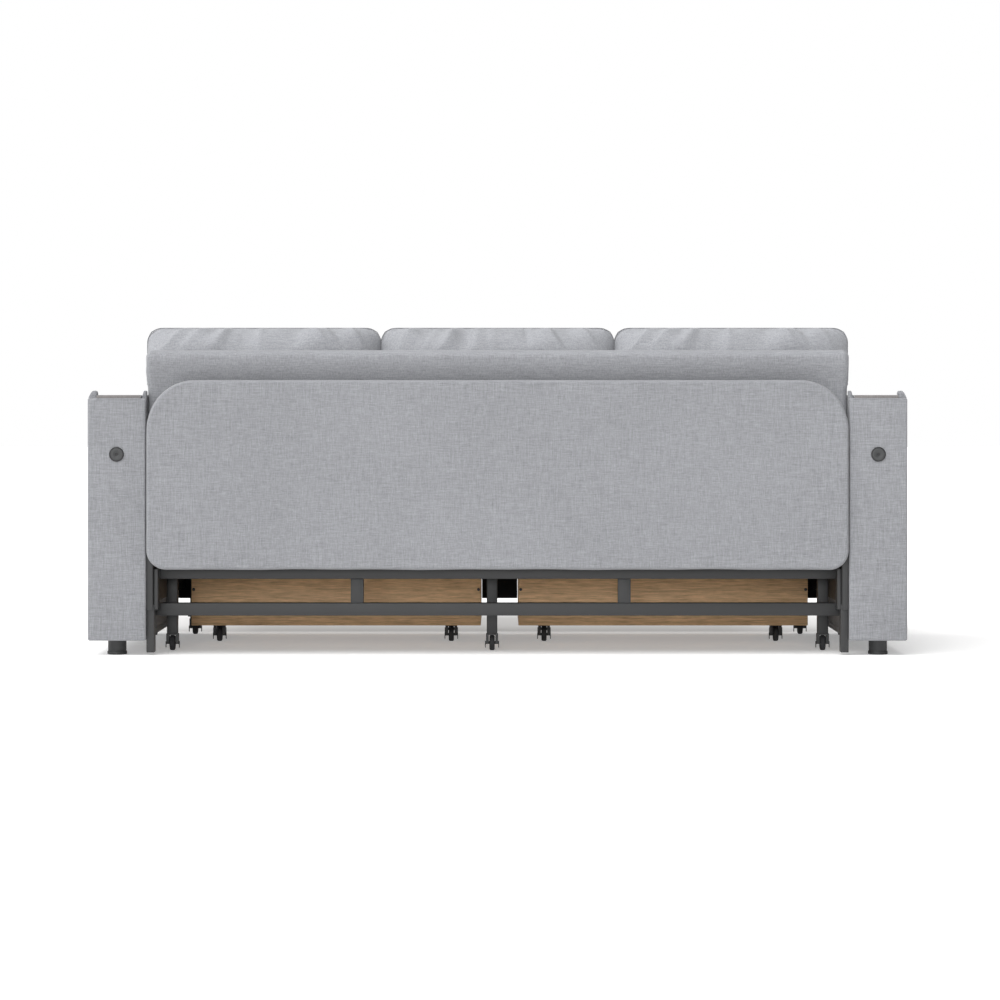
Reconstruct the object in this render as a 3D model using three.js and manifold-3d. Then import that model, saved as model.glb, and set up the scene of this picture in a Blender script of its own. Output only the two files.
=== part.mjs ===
// A sleeper sofa with a pull-out bed, storage arms and two drawers on casters.
// Millimetres, +Z up. The seat faces -Y, the back +Y, and +X is the sitter's left.
// The origin lies on the floor under the middle of the whole.
// Every depth is measured forward, towards -Y, from the rear faces of the arms.
import * as THREE from "three";
import { mergeVertices } from "three/addons/utils/BufferGeometryUtils.js";
import Module from "manifold-3d";

const wasm = await Module();
wasm.setup();

// Gaps: pieces that touch, pieces that slide past each other, and the overrun of a cut
const contactGap = 0.3;
const slideGap = 1;
const cutOverrun = 5;

// Arms
const sofaWidth = 2110;
const armWidth = 149.5;
const armDepth = 880;
const armBottom = 38;
const armTop = 663;
const lipTop = 682;
const armBoard = 18;
const armEdgeRadius = 5;
const outerPanel = 22;
const innerPanel = 11.6;
const outerLipRadius = 8;
const innerLipRadius = 4;
const lipLength = 30;

// Arm lids
const lidTop = 670.7;
const lidThickness = 19;
const lidInset = 2;

// Round caps on the arms' rear faces
const capRadius = 19;
const capProud = 3;
const capChamfer = 1;
const capDimpleRadius = 2.2;
const capDimpleDepth = 1.2;
const capHeight = 518;

// Feet under the arms
const footTopRadius = 23.5;
const footBottomRadius = 25.5;
const footFlare = 8;
const footOutset = 5;
const footInset = 60;

// Frame between the arms
const coverProud = 14;
const frontProud = 6;
const sideRail = 17;
const sideRailBottom = 116;
const sideRailUnderside = 131.7;
const sideRailStepDepth = 110;
const sideRailTop = 230;
const sideRailStart = 11;
const sideRailFrontGap = 15;
const rearLeg = 20;
const rearLegDepth = 40;
const rearLegStart = 15;
const rearLegBottom = 7;
const rearLegWeld = 14;
const postDepth = 16.4;
const postTop = 580;
const endPlate = 9;
const endPlateStart = 20;
const endPlateDepth = 48;
const endPlateBottom = 117.6;
const endPlateTop = 222;
const endPlateRecess = 6;

// Rails and struts across the rear
const rearRailStart = 70;
const rearRailDepth = 33;
const lowerRailBottom = 98.7;
const upperRailBottom = 194;
const rearRailHeight = 33;
const strutWidth = 33;
const strutLeftShare = 0.4024;
const strutRightShare = -0.3633;

// Rear cover
const coverThickness = 24;
const coverBottom = 221.6;
const coverTop = 709;
const coverSideGap = 4;
const coverTopRadius = 123;
const coverBottomRadius = 49;
const coverEdge = 5;

// Upholstered backrest behind the cushions
const backrestTop = 787;
const backrestDepth = 108;
const backrestRadius = 15;

// Decks of interleaved slats, and the mattress that folds in two
const deckTop = 241;
const deckSideGap = 4.2;
const fixedSlats = 9;
const slatGap = 22;
const fixedBeamStart = 60;
const fixedBeamDepth = 50;
const slatEndGap = 10;
const mattressLayer = 100;
const mattressSideGap = 5;
const mattressRadius = 26;
const mattressCrown = 7;
const mattressDrawIn = 6;

// Back cushions
const cushionTop = 850;
const cushionDepth = 135;
const middleCushionShare = 0.339;
const cushionRadius = 40;
const cushionCrown = 24;
const cushionDrawIn = 7;
const cushionOverArm = 9;
const cushionOverArmRise = 45;

// Pull-out carriage
const carriageTube = 28;
const carriageTop = 222;
const carriageStart = 186;
const carriageLegInset = 14.6;
const centreLegX = 14.5;
const carriageSlatsStart = 150;
const carriageBeamDepth = 65.7;

// Apron, which is the carriage's front
const apronThickness = 20;
const apronSideGap = 2.5;
const apronBottom = 100.5;
const apronBand = 35;
const bayGap = 2;

// Drawers
const drawerMiddleGap = 102;
const drawerLegGap = 6.6;
const drawerShift = -5.4;
const drawerDepth = 436;
const drawerBottom = 49.4;
const drawerTop = 186;
const drawerWall = 15;
const drawerFloor = 9;
const drawerFrontThickness = 17.7;
const drawerFrontDrop = 4.4;
const drawerFrontGap = 3;
const guideGap = 0.6;
const guideStart = 20;
const guideBottom = 72;
const guideHeight = 25;
const notchRadius = 46;
const notchDepth = 27;
const runnerWidth = 40;
const runnerPlate = 3;
const runnerInnerInset = 76;
const runnerOuterInset = 73;
const runnerEndMargin = 28;
const casterRearInset = 108;
const casterFrontInset = 96;
const innerCasterSpread = 3.3;
const outerCasterSpread = 19.5;

// Casters
const wheelWidth = 14;
const carriageWheelRadius = 20;
const drawerWheelRadius = 19;
const wheelChamfer = 2;
const axleRadius = 4;
const axleClearance = 0.35;
const axleEnd = 3.2;
const cheekThickness = 2.5;
const carriageForkDrop = 12;
const forkWidth = 22;
const drawerForkDrop = 7;
const forkDepth = 24;
const webThickness = 3;
const webHeight = 45;

// Places that follow from the sizes
const halfWidth = sofaWidth / 2;
const armInnerX = halfWidth - armWidth;
const armCentreX = halfWidth - armWidth / 2;
const seatFront = armDepth + frontProud;
const rearPlaneY = (coverProud + seatFront) / 2 - coverProud;
const frameOuterX = armInnerX - contactGap;
const sideRailInnerX = frameOuterX - sideRail;
const rearLegInnerX = frameOuterX - rearLeg;
const coverFront = coverThickness - coverProud;
const postStart = coverFront + contactGap;
const deckHalfWidth = rearLegInnerX - endPlate - deckSideGap;
const middleCushionWidth = armInnerX * 2 * middleCushionShare;
const backrestStart = postStart + postDepth + contactGap;
const backrestFront = backrestStart + backrestDepth;
const mattressStart = backrestFront + contactGap;
const lowerMattressBottom = deckTop + contactGap;
const lowerMattressTop = lowerMattressBottom + mattressLayer - contactGap;
const foldHeight = lowerMattressTop + contactGap;
const cushionBottom = lowerMattressTop + contactGap;
const cushionStart = backrestFront + contactGap;
const upperMattressStart = cushionStart + cushionDepth + contactGap;
const apronStart = seatFront - apronThickness;
const carriageFront = apronStart - contactGap;
const carriageBeamStart = carriageFront - carriageBeamDepth;
const fixedSlatsEnd = carriageBeamStart - slatEndGap;
const carriageBottom = carriageTop - carriageTube;
const carriageOuterX = rearLegInnerX - slideGap;
const carriageInnerX = carriageOuterX - carriageTube;
const carriageLegX = carriageOuterX - carriageLegInset - carriageTube / 2;
const drawerInnerX = drawerMiddleGap / 2;
const drawerOuterX = carriageLegX - carriageTube / 2 - drawerLegGap;
const drawerStart = seatFront - drawerDepth;
const drawerCasterRear = drawerStart + casterRearInset;
const drawerCasterFront = seatFront - casterFrontInset;
const runnerInnerX = drawerInnerX + runnerInnerInset;
const runnerOuterX = drawerOuterX - runnerOuterInset;
const drawerFrontStart = seatFront - drawerFrontThickness;
const frontOuterX = carriageLegX - carriageTube / 2 - guideGap;
const bayTop = deckTop - apronBand;

// Detail of the round shapes and of the soft forms
const arcSteps = 6;
const wheelSides = 16;
const axleSides = 12;
const capSides = 20;
const footSides = 20;
const cushionSteps = [12, 4, 8];
const mattressSteps = [12, 8, 4];
const backrestSteps = [6, 4, 6];

const fabric = new THREE.MeshStandardMaterial({ color: 0x9ea0a4, roughness: 0.95, metalness: 0 });
const cushionFabric = new THREE.MeshStandardMaterial({ color: 0xb9bbbe, roughness: 0.95, metalness: 0 });
const steel = new THREE.MeshStandardMaterial({ color: 0x4d4f52, roughness: 0.45, metalness: 0.6 });
const oak = new THREE.MeshStandardMaterial({ color: 0x8f7658, roughness: 0.6, metalness: 0 });
const beech = new THREE.MeshStandardMaterial({ color: 0xb99a6d, roughness: 0.65, metalness: 0 });
const plastic = new THREE.MeshStandardMaterial({ color: 0x3a3b3d, roughness: 0.5, metalness: 0 });
const rubber = new THREE.MeshStandardMaterial({ color: 0x2b2c2e, roughness: 0.8, metalness: 0 });
const capPlastic = new THREE.MeshStandardMaterial({ color: 0x5d6063, roughness: 0.5, metalness: 0 });

const sofa = new THREE.Group();
sofa.position.y = rearPlaneY;

// Adds one named sub-part to a group.
function add(group, name, geometry, material) {
  const mesh = new THREE.Mesh(geometry, material);
  mesh.name = name;
  group.add(mesh);
  return mesh;
}

// A box between two places each in x, depth and height.
function box([x0, x1], [depth0, depth1], [z0, z1]) {
  const geometry = new THREE.BoxGeometry(x1 - x0, depth1 - depth0, z1 - z0);
  return geometry.translate((x0 + x1) / 2, -(depth0 + depth1) / 2, (z0 + z1) / 2);
}

// An outline in x and height, extruded forward between two depths.
function extrudeForward(outline, [depth0, depth1], edge = 0) {
  const geometry = new THREE.ExtrudeGeometry(outline, {
    depth: depth1 - depth0 - edge * 2,
    bevelEnabled: edge > 0,
    bevelSize: edge,
    bevelOffset: -edge,
    bevelThickness: edge,
    bevelSegments: 2,
    curveSegments: arcSteps,
  });
  return geometry.rotateX(Math.PI / 2).translate(0, -depth0 - edge, 0);
}

// An outline in depth and height, extruded sideways between two places in x.
function extrudeAcross(outline, [x0, x1]) {
  const geometry = new THREE.ExtrudeGeometry(outline, {
    depth: x1 - x0,
    bevelEnabled: false,
    curveSegments: arcSteps,
  });
  const sideways = new THREE.Matrix4().makeBasis(
    new THREE.Vector3(0, -1, 0),
    new THREE.Vector3(0, 0, 1),
    new THREE.Vector3(-1, 0, 0),
  );
  return geometry.applyMatrix4(sideways).translate(x1, 0, 0);
}

// An outline in x and minus depth, extruded upward between two heights.
function extrudeUp(outline, [z0, z1]) {
  const geometry = new THREE.ExtrudeGeometry(outline, { depth: z1 - z0, bevelEnabled: false });
  return geometry.translate(0, 0, z0);
}

function outlineOf(points) {
  return new THREE.Shape(points.map(([x, y]) => new THREE.Vector2(x, y)));
}

function toManifold(geometry) {
  const plain = geometry.clone();
  plain.deleteAttribute("normal");
  plain.deleteAttribute("uv");
  const merged = mergeVertices(plain);
  return new wasm.Manifold(
    new wasm.Mesh({
      numProp: 3,
      vertProperties: new Float32Array(merged.attributes.position.array),
      triVerts: new Uint32Array(merged.index.array),
    }),
  );
}

function fromManifold(solid) {
  const mesh = solid.getMesh();
  const geometry = new THREE.BufferGeometry();
  geometry.setAttribute("position", new THREE.BufferAttribute(mesh.vertProperties, 3));
  geometry.setIndex(new THREE.BufferAttribute(mesh.triVerts, 1));
  geometry.computeVertexNormals();
  return geometry;
}

function join(geometries) {
  return fromManifold(geometries.map(toManifold).reduce((whole, piece) => whole.add(piece)));
}

function cut(geometry, tools) {
  const cutters = tools.map(toManifold);
  return fromManifold(cutters.reduce((whole, cutter) => whole.subtract(cutter), toManifold(geometry)));
}

// A turned piece whose axis lies along x, from [radius, x] pairs.
function turnedAcross(profile, sides) {
  const points = profile.map(([radius, along]) => new THREE.Vector2(radius, along));
  return new THREE.LatheGeometry(points, sides).rotateZ(-Math.PI / 2);
}

// A padded block inside its named size. Its edges are round, its front bulges and its sides draw in.
// crown and drawIn are lengths taken from the size, and crownAxis is 1 for the front or 2 for the top.
function padded({ size, steps, radius, crown, drawIn, crownAxis, crownSign }) {
  const geometry = new THREE.BoxGeometry(2, 2, 2, ...steps);
  const position = geometry.attributes.position;
  const half = size.map((length) => length / 2);
  const bodyHalf = [...half];
  bodyHalf[crownAxis] -= crown / 2;
  const reach = bodyHalf.map((length) => length - radius);
  const point = new THREE.Vector3();
  for (let i = 0; i < position.count; i += 1) {
    point.fromBufferAttribute(position, i);
    const spread = point.toArray().map((share) => Math.sin((share * Math.PI) / 2));
    const flat = spread.map((share, axis) => share * bodyHalf[axis]);
    const core = flat.map((length, axis) => THREE.MathUtils.clamp(length, -reach[axis], reach[axis]));
    const out = new THREE.Vector3(...flat).sub(new THREE.Vector3(...core));
    if (out.lengthSq() > 0) out.setLength(radius);
    const soft = out.add(new THREE.Vector3(...core)).toArray();
    const level = soft.map((length, axis) => length / bodyHalf[axis]);
    const [wide, tall] = [0, 1, 2].filter((axis) => axis !== crownAxis);
    const bulge = (1 - level[wide] ** 2) * (1 - level[tall] ** 2);
    const towards = (1 + crownSign * level[crownAxis]) / 2;
    soft[crownAxis] += crownSign * crown * (bulge * towards - 1 / 2);
    const along = crownAxis === 1 ? level[2] : level[1];
    soft[0] -= level[0] * drawIn * (1 - along ** 2);
    position.setXYZ(i, ...soft);
  }
  return geometry;
}

// Arm: a U of rear, bottom and front boards, two side panels with lips, a lid, a cap and two feet
function armBox(side) {
  const outline = new THREE.Shape();
  outline.moveTo(0, armBottom);
  outline.lineTo(armDepth, armBottom);
  outline.lineTo(armDepth, armTop - armEdgeRadius);
  outline.absarc(armDepth - armEdgeRadius, armTop - armEdgeRadius, armEdgeRadius, 0, Math.PI / 2);
  outline.lineTo(armDepth - armBoard, armTop);
  outline.lineTo(armDepth - armBoard, armBottom + armBoard);
  outline.lineTo(armBoard, armBottom + armBoard);
  outline.lineTo(armBoard, armTop);
  outline.lineTo(armEdgeRadius, armTop);
  outline.absarc(armEdgeRadius, armTop - armEdgeRadius, armEdgeRadius, Math.PI / 2, Math.PI);
  const reach = side * armWidth / 2;
  return extrudeAcross(outline, [-Math.abs(reach), Math.abs(reach)]);
}

// A side panel stands on the bottom board between the end boards, level with the lid. Its rounded lip
// rises over the lid at the rear.
function armPanel(side, thickness, outer, radius) {
  const outward = side * (outer ? 1 : -1);
  const face = outward * armWidth / 2;
  const back = face - outward * thickness;
  const [low, high] = [Math.min(face, back), Math.max(face, back)];
  const bottom = armBottom + armBoard + contactGap;
  const start = armBoard + contactGap;
  const board = box([low, high], [start, armDepth - start], [bottom, lidTop]);
  const outline = new THREE.Shape();
  outline.moveTo(low, bottom);
  outline.lineTo(high, bottom);
  outline.lineTo(high, lipTop - radius);
  outline.absarc(high - radius, lipTop - radius, radius, 0, Math.PI / 2);
  outline.lineTo(low + radius, lipTop);
  outline.absarc(low + radius, lipTop - radius, radius, Math.PI / 2, Math.PI);
  return join([board, extrudeForward(outline, [start, start + lipLength])]);
}

// The lid's plate lies on the end boards, and its core drops between them.
function armLid(side) {
  const seat = armTop + contactGap;
  const coreStart = armBoard + slideGap;
  const coreEnd = armDepth - armBoard - slideGap;
  const outline = outlineOf([
    [coreStart, lidTop - lidThickness],
    [coreEnd, lidTop - lidThickness],
    [coreEnd, seat],
    [armDepth - lidInset, seat],
    [armDepth - lidInset, lidTop],
    [lidInset, lidTop],
    [lidInset, seat],
    [coreStart, seat],
  ]);
  const outerX = side * (armWidth / 2 - outerPanel - slideGap);
  const innerX = side * (innerPanel + slideGap - armWidth / 2);
  return extrudeAcross(outline, [Math.min(outerX, innerX), Math.max(outerX, innerX)]);
}

function armCap() {
  const profile = [
    [0, contactGap],
    [capRadius, contactGap],
    [capRadius, capProud - capChamfer],
    [capRadius - capChamfer, capProud],
    [capDimpleRadius, capProud],
    [capDimpleRadius, capProud - capDimpleDepth],
    [0, capProud - capDimpleDepth],
  ];
  return new THREE.LatheGeometry(profile.map(([radius, out]) => new THREE.Vector2(radius, out)), capSides);
}

function foot() {
  const top = armBottom - contactGap;
  const profile = [
    [0, 0],
    [footBottomRadius, 0],
    [footTopRadius, footFlare],
    [footTopRadius, top],
    [0, top],
  ];
  const points = profile.map(([radius, height]) => new THREE.Vector2(radius, height));
  return new THREE.LatheGeometry(points, footSides).rotateX(Math.PI / 2);
}

function addArm(side, word) {
  const arm = new THREE.Group();
  arm.position.x = side * armCentreX;
  sofa.add(arm);
  add(arm, `arm_box_${word}`, armBox(side), fabric);
  add(arm, `arm_outer_panel_${word}`, armPanel(side, outerPanel, true, outerLipRadius), fabric);
  add(arm, `arm_inner_panel_${word}`, armPanel(side, innerPanel, false, innerLipRadius), fabric);
  add(arm, `arm_lid_${word}`, armLid(side), fabric);
  const cap = add(arm, `arm_cap_${word}`, armCap(), capPlastic);
  cap.position.z = capHeight;
  for (const [place, depth] of [["rear", footInset], ["front", armDepth - footInset]]) {
    const leg = add(arm, `foot_${place}_${word}`, foot(), plastic);
    leg.position.set(side * footOutset, -depth, 0);
  }
}

// Side frame: one weldment of a stepped rail, a rear leg, a back post and a recessed end plate
function sideFrame(side) {
  const span = (inner, outer) => (side > 0 ? [inner, outer] : [-outer, -inner]);
  const railEnd = armDepth - sideRailFrontGap;
  const railSpan = span(sideRailInnerX, frameOuterX);
  const rail = box(railSpan, [sideRailStart, railEnd], [sideRailUnderside, sideRailTop]);
  const step = box(railSpan, [sideRailStart, sideRailStepDepth], [sideRailBottom, sideRailTop]);
  const leg = box(
    span(rearLegInnerX, frameOuterX),
    [rearLegStart, rearLegStart + rearLegDepth],
    [rearLegBottom, sideRailBottom + rearLegWeld],
  );
  const post = box(railSpan, [postStart, postStart + postDepth], [sideRailBottom, postTop]);
  const plateOuterX = rearLegInnerX;
  const plateEnd = endPlateStart + endPlateDepth;
  const plate = box(
    span(plateOuterX - endPlate, plateOuterX),
    [endPlateStart, plateEnd],
    [endPlateBottom, endPlateTop],
  );
  const web = box(
    span(plateOuterX - endPlate / 2, sideRailInnerX + sideRail / 2),
    [endPlateStart + endPlateRecess, plateEnd],
    [endPlateBottom, endPlateTop],
  );
  return join([rail, step, leg, post, plate, web]);
}

function rearRail(bottom) {
  const end = sideRailInnerX - contactGap;
  return box([-end, end], [rearRailStart, rearRailStart + rearRailDepth], [bottom, bottom + rearRailHeight]);
}

function rearStrut() {
  const bottom = lowerRailBottom + rearRailHeight + contactGap;
  const top = upperRailBottom - contactGap;
  const ends = [rearRailStart, rearRailStart + rearRailDepth];
  return box([-strutWidth / 2, strutWidth / 2], ends, [bottom, top]);
}

// The rear cover has large round corners at its top and small ones at its bottom.
function rearCover() {
  const half = armInnerX - coverSideGap;
  const lowX = half - coverBottomRadius;
  const lowZ = coverBottom + coverBottomRadius;
  const outline = new THREE.Shape();
  outline.moveTo(-lowX, coverBottom);
  outline.lineTo(lowX, coverBottom);
  outline.absarc(lowX, lowZ, coverBottomRadius, -Math.PI / 2, 0);
  outline.lineTo(half, coverTop - coverTopRadius);
  outline.absarc(half - coverTopRadius, coverTop - coverTopRadius, coverTopRadius, 0, Math.PI / 2);
  outline.lineTo(coverTopRadius - half, coverTop);
  outline.absarc(coverTopRadius - half, coverTop - coverTopRadius, coverTopRadius, Math.PI / 2, Math.PI);
  outline.lineTo(-half, lowZ);
  outline.absarc(-lowX, lowZ, coverBottomRadius, Math.PI, Math.PI * 1.5);
  return extrudeForward(outline, [-coverProud, coverFront], coverEdge);
}

function backrest() {
  const bottom = deckTop + contactGap;
  const geometry = padded({
    size: [(armInnerX - slideGap) * 2, backrestDepth, backrestTop - bottom],
    steps: backrestSteps,
    radius: backrestRadius,
    crown: 0,
    drawIn: 0,
    crownAxis: 1,
    crownSign: -1,
  });
  return geometry.translate(0, -(backrestStart + backrestFront) / 2, (bottom + backrestTop) / 2);
}

// A back cushion. The outer ones swell over the arms above the lips.
function backCushion(width, overArmSide) {
  const height = cushionTop - cushionBottom;
  const geometry = padded({
    size: [width, cushionDepth, height],
    steps: cushionSteps,
    radius: cushionRadius,
    crown: cushionCrown,
    drawIn: cushionDrawIn,
    crownAxis: 1,
    crownSign: -1,
  });
  const position = geometry.attributes.position;
  for (let i = 0; i < position.count; i += 1) {
    const outward = Math.max(0, (overArmSide * position.getX(i) * 2) / width);
    const above = position.getZ(i) + (cushionTop + cushionBottom) / 2 - lipTop;
    const rise = THREE.MathUtils.smoothstep(above, 0, cushionOverArmRise);
    position.setX(i, position.getX(i) + overArmSide * cushionOverArm * outward * rise);
  }
  return geometry;
}

function addCushions() {
  const outerWidth = armInnerX - slideGap - middleCushionWidth / 2 - contactGap;
  const outerX = middleCushionWidth / 2 + contactGap + outerWidth / 2;
  const places = [
    ["left", outerX, outerWidth, 1],
    ["middle", 0, middleCushionWidth - contactGap, 0],
    ["right", -outerX, outerWidth, -1],
  ];
  for (const [word, x, width, overArmSide] of places) {
    const cushion = add(sofa, `back_cushion_${word}`, backCushion(width, overArmSide), cushionFabric);
    cushion.position.set(x, -(cushionStart + cushionDepth / 2), (cushionBottom + cushionTop) / 2);
  }
}

// The two decks are combs of slats that interleave, so that one slides out of the other.
const slatCount = fixedSlats * 2 + 1;
const slatPitch = (deckHalfWidth * 2 + slatGap) / slatCount;
const slatWidth = slatPitch - slatGap;

function slatEdges(index) {
  const start = index * slatPitch - deckHalfWidth;
  return [start, start + slatWidth];
}

// The fixed comb's beam lies at the rear, and its slats are the odd places of the row.
function fixedDeck() {
  const beamFront = fixedBeamStart + fixedBeamDepth;
  const points = [[-deckHalfWidth, -fixedBeamStart], [-deckHalfWidth, -beamFront]];
  for (let index = 1; index < slatCount; index += 2) {
    const [left, right] = slatEdges(index);
    points.push([left, -beamFront], [left, -fixedSlatsEnd], [right, -fixedSlatsEnd], [right, -beamFront]);
  }
  points.push([deckHalfWidth, -beamFront], [deckHalfWidth, -fixedBeamStart]);
  return extrudeUp(outlineOf(points), [upperRailBottom + rearRailHeight + contactGap, deckTop]);
}

// The carriage's comb has its beam at the front, and its slats are the even places of the row.
function carriageDeck() {
  const points = [[deckHalfWidth, -carriageFront], [-deckHalfWidth, -carriageFront]];
  for (let index = 0; index < slatCount; index += 2) {
    const [left, right] = slatEdges(index);
    if (index > 0) points.push([left, -carriageBeamStart]);
    points.push([left, -carriageSlatsStart], [right, -carriageSlatsStart]);
    if (index < slatCount - 1) points.push([right, -carriageBeamStart]);
  }
  return extrudeUp(outlineOf(points.reverse()), [carriageTop + contactGap, deckTop]);
}

// One layer of the folding mattress, crowned on its top or on its underside.
function mattressLayerForm(start, crownSign) {
  const geometry = padded({
    size: [(armInnerX - mattressSideGap) * 2, seatFront - start, mattressLayer - contactGap],
    steps: mattressSteps,
    radius: mattressRadius,
    crown: mattressCrown,
    drawIn: mattressDrawIn,
    crownAxis: 2,
    crownSign,
  });
  return geometry;
}

function addMattress() {
  const half = (mattressLayer - contactGap) / 2;
  const lower = add(sofa, "mattress_lower", mattressLayerForm(mattressStart, 1), fabric);
  lower.position.set(0, -(mattressStart + seatFront) / 2, lowerMattressBottom + half);
  const upper = add(sofa, "mattress_upper", mattressLayerForm(upperMattressStart, 1), fabric);
  upper.position.set(0, -(upperMattressStart + seatFront) / 2, foldHeight + contactGap + half);
}

// Casters: a fork of two cheeks under a web, with its axle, and a wheel with a bore
function fork(axleHeight, drop, top) {
  const half = forkWidth / 2;
  const cheeks = [-1, 1].map((side) => {
    const inner = side * (half - cheekThickness);
    const ends = [Math.min(inner, side * half), Math.max(inner, side * half)];
    return box(ends, [-forkDepth / 2, forkDepth / 2], [axleHeight - drop, top]);
  });
  const reach = half + axleEnd;
  const pin = turnedAcross([[0, -reach], [axleRadius, -reach], [axleRadius, reach], [0, reach]], axleSides);
  return [...cheeks, pin.translate(0, 0, axleHeight)];
}

function wheel(radius) {
  const half = wheelWidth / 2;
  const bore = axleRadius + axleClearance;
  return turnedAcross(
    [
      [bore, -half],
      [radius - wheelChamfer, -half],
      [radius, wheelChamfer - half],
      [radius, half - wheelChamfer],
      [radius - wheelChamfer, half],
      [bore, half],
      [bore, -half],
    ],
    wheelSides,
  );
}

// A carriage leg: a square tube on a caster fork
function carriageLeg() {
  const half = carriageTube / 2;
  const web = webHeight + webThickness;
  const post = box([-half, half], [-half, half], [webHeight, carriageBottom - contactGap]);
  return join([post, ...fork(carriageWheelRadius, carriageForkDrop, web)]);
}

function addCarriage() {
  const heights = [carriageBottom, carriageTop];
  const across = carriageInnerX - contactGap;
  const rearRailEnds = [carriageStart, carriageStart + carriageTube];
  const frontRailEnds = [carriageFront - carriageTube, carriageFront];
  const sideEnds = [carriageStart, carriageFront];
  add(sofa, "carriage_rail_left", box([carriageInnerX, carriageOuterX], sideEnds, heights), steel);
  add(sofa, "carriage_rail_right", box([-carriageOuterX, -carriageInnerX], sideEnds, heights), steel);
  add(sofa, "carriage_rail_rear", box([-across, across], rearRailEnds, heights), steel);
  add(sofa, "carriage_rail_front", box([-across, across], frontRailEnds, heights), steel);
  add(sofa, "carriage_deck", carriageDeck(), beech);
  add(sofa, "apron", apron(), fabric);
  const rearDepth = carriageStart + carriageTube / 2;
  const frontDepth = carriageFront - carriageTube / 2;
  const places = [
    ["rear_left", carriageLegX, rearDepth],
    ["rear_centre", centreLegX, rearDepth],
    ["rear_right", -carriageLegX, rearDepth],
    ["front_left", carriageLegX, frontDepth],
    ["front_right", -carriageLegX, frontDepth],
  ];
  for (const [word, x, depth] of places) {
    const leg = add(sofa, `carriage_leg_${word}`, carriageLeg(), steel);
    leg.position.set(x, -depth, 0);
    const roller = add(sofa, `carriage_wheel_${word}`, wheel(carriageWheelRadius), rubber);
    roller.position.set(x, -depth, carriageWheelRadius);
  }
}

// The pair of drawers stands a little to one side between the outer legs.
function frontInnerX(side) {
  return drawerInnerX + side * drawerShift;
}

// The apron has two bays for the drawer fronts, open at the bottom.
function apron() {
  const half = armInnerX - apronSideGap;
  const bayOuter = frontOuterX + bayGap;
  const [stileLeft, stileRight] = [frontInnerX(1) - slideGap, slideGap - frontInnerX(-1)];
  const outline = outlineOf([
    [-half, apronBottom],
    [-bayOuter, apronBottom],
    [-bayOuter, bayTop],
    [stileRight, bayTop],
    [stileRight, apronBottom],
    [stileLeft, apronBottom],
    [stileLeft, bayTop],
    [bayOuter, bayTop],
    [bayOuter, apronBottom],
    [half, apronBottom],
    [half, deckTop],
    [-half, deckTop],
  ]);
  return extrudeForward(outline, [apronStart, seatFront]);
}

// Drawer: a box open at its top with a guide strip that runs along the carriage legs, a front with a
// finger notch, two runners and four wheels
const drawerWidth = drawerOuterX - drawerInnerX;
const drawerCentreX = (drawerOuterX + drawerInnerX) / 2;

function drawerBox(side) {
  const half = drawerWidth / 2;
  const end = drawerFrontStart - contactGap;
  const outside = box([-half, half], [drawerStart, end], [drawerBottom, drawerTop]);
  const inside = box(
    [drawerWall - half, half - drawerWall],
    [drawerStart + drawerWall, end - drawerWall],
    [drawerBottom + drawerFloor, drawerTop + cutOverrun],
  );
  const [root, tip] = [half - drawerWall / 2, frontOuterX - drawerCentreX - side * drawerShift];
  const guide = box(
    side > 0 ? [root, tip] : [-tip, -root],
    [drawerStart + guideStart, end],
    [guideBottom, guideBottom + guideHeight],
  );
  return join([cut(outside, [inside]), guide]);
}

function drawerFront(side) {
  const half = (frontOuterX - frontInnerX(side)) / 2;
  const bottom = drawerBottom - drawerFrontDrop;
  const top = bayTop - drawerFrontGap;
  const outline = new THREE.Shape();
  outline.moveTo(-half, bottom);
  outline.lineTo(half, bottom);
  outline.lineTo(half, top);
  outline.lineTo(notchRadius, top);
  outline.absellipse(0, top, notchRadius, notchDepth, 0, Math.PI, true);
  outline.lineTo(-half, top);
  return extrudeForward(outline, [drawerFrontStart, seatFront]);
}

// The front caster stands further out than the rear one.
function drawerRunner(spread) {
  const half = runnerWidth / 2;
  const top = drawerBottom - contactGap;
  const ends = [drawerCasterRear - runnerEndMargin, drawerCasterFront + runnerEndMargin];
  const sides = [Math.min(-half, spread - half), Math.max(half, spread + half)];
  const strip = box(sides, ends, [top - runnerPlate, top]);
  const forks = [[0, drawerCasterRear], [spread, drawerCasterFront]].flatMap(([x, depth]) =>
    fork(drawerWheelRadius, drawerForkDrop, top).map((piece) => piece.translate(x, -depth, 0)),
  );
  return join([strip, ...forks]);
}

function addDrawer(side, word) {
  const drawer = new THREE.Group();
  drawer.position.x = side * drawerCentreX;
  sofa.add(drawer);
  add(drawer, `drawer_box_${word}`, drawerBox(side), oak).position.x = drawerShift;
  const front = add(drawer, `drawer_front_${word}`, drawerFront(side), oak);
  front.position.x = side * ((frontInnerX(side) + frontOuterX) / 2 - drawerCentreX);
  const runners = [
    ["inner", runnerInnerX, innerCasterSpread],
    ["outer", runnerOuterX, outerCasterSpread],
  ];
  for (const [place, x, spread] of runners) {
    const offset = side * (x - drawerCentreX);
    const runner = add(drawer, `drawer_runner_${place}_${word}`, drawerRunner(side * spread), steel);
    runner.position.x = offset;
    const wheels = [
      ["rear", drawerCasterRear, 0],
      ["front", drawerCasterFront, side * spread],
    ];
    for (const [end, depth, out] of wheels) {
      const roller = add(drawer, `drawer_wheel_${place}_${end}_${word}`, wheel(drawerWheelRadius), rubber);
      roller.position.set(offset + out, -depth, drawerWheelRadius);
    }
  }
}

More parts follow.
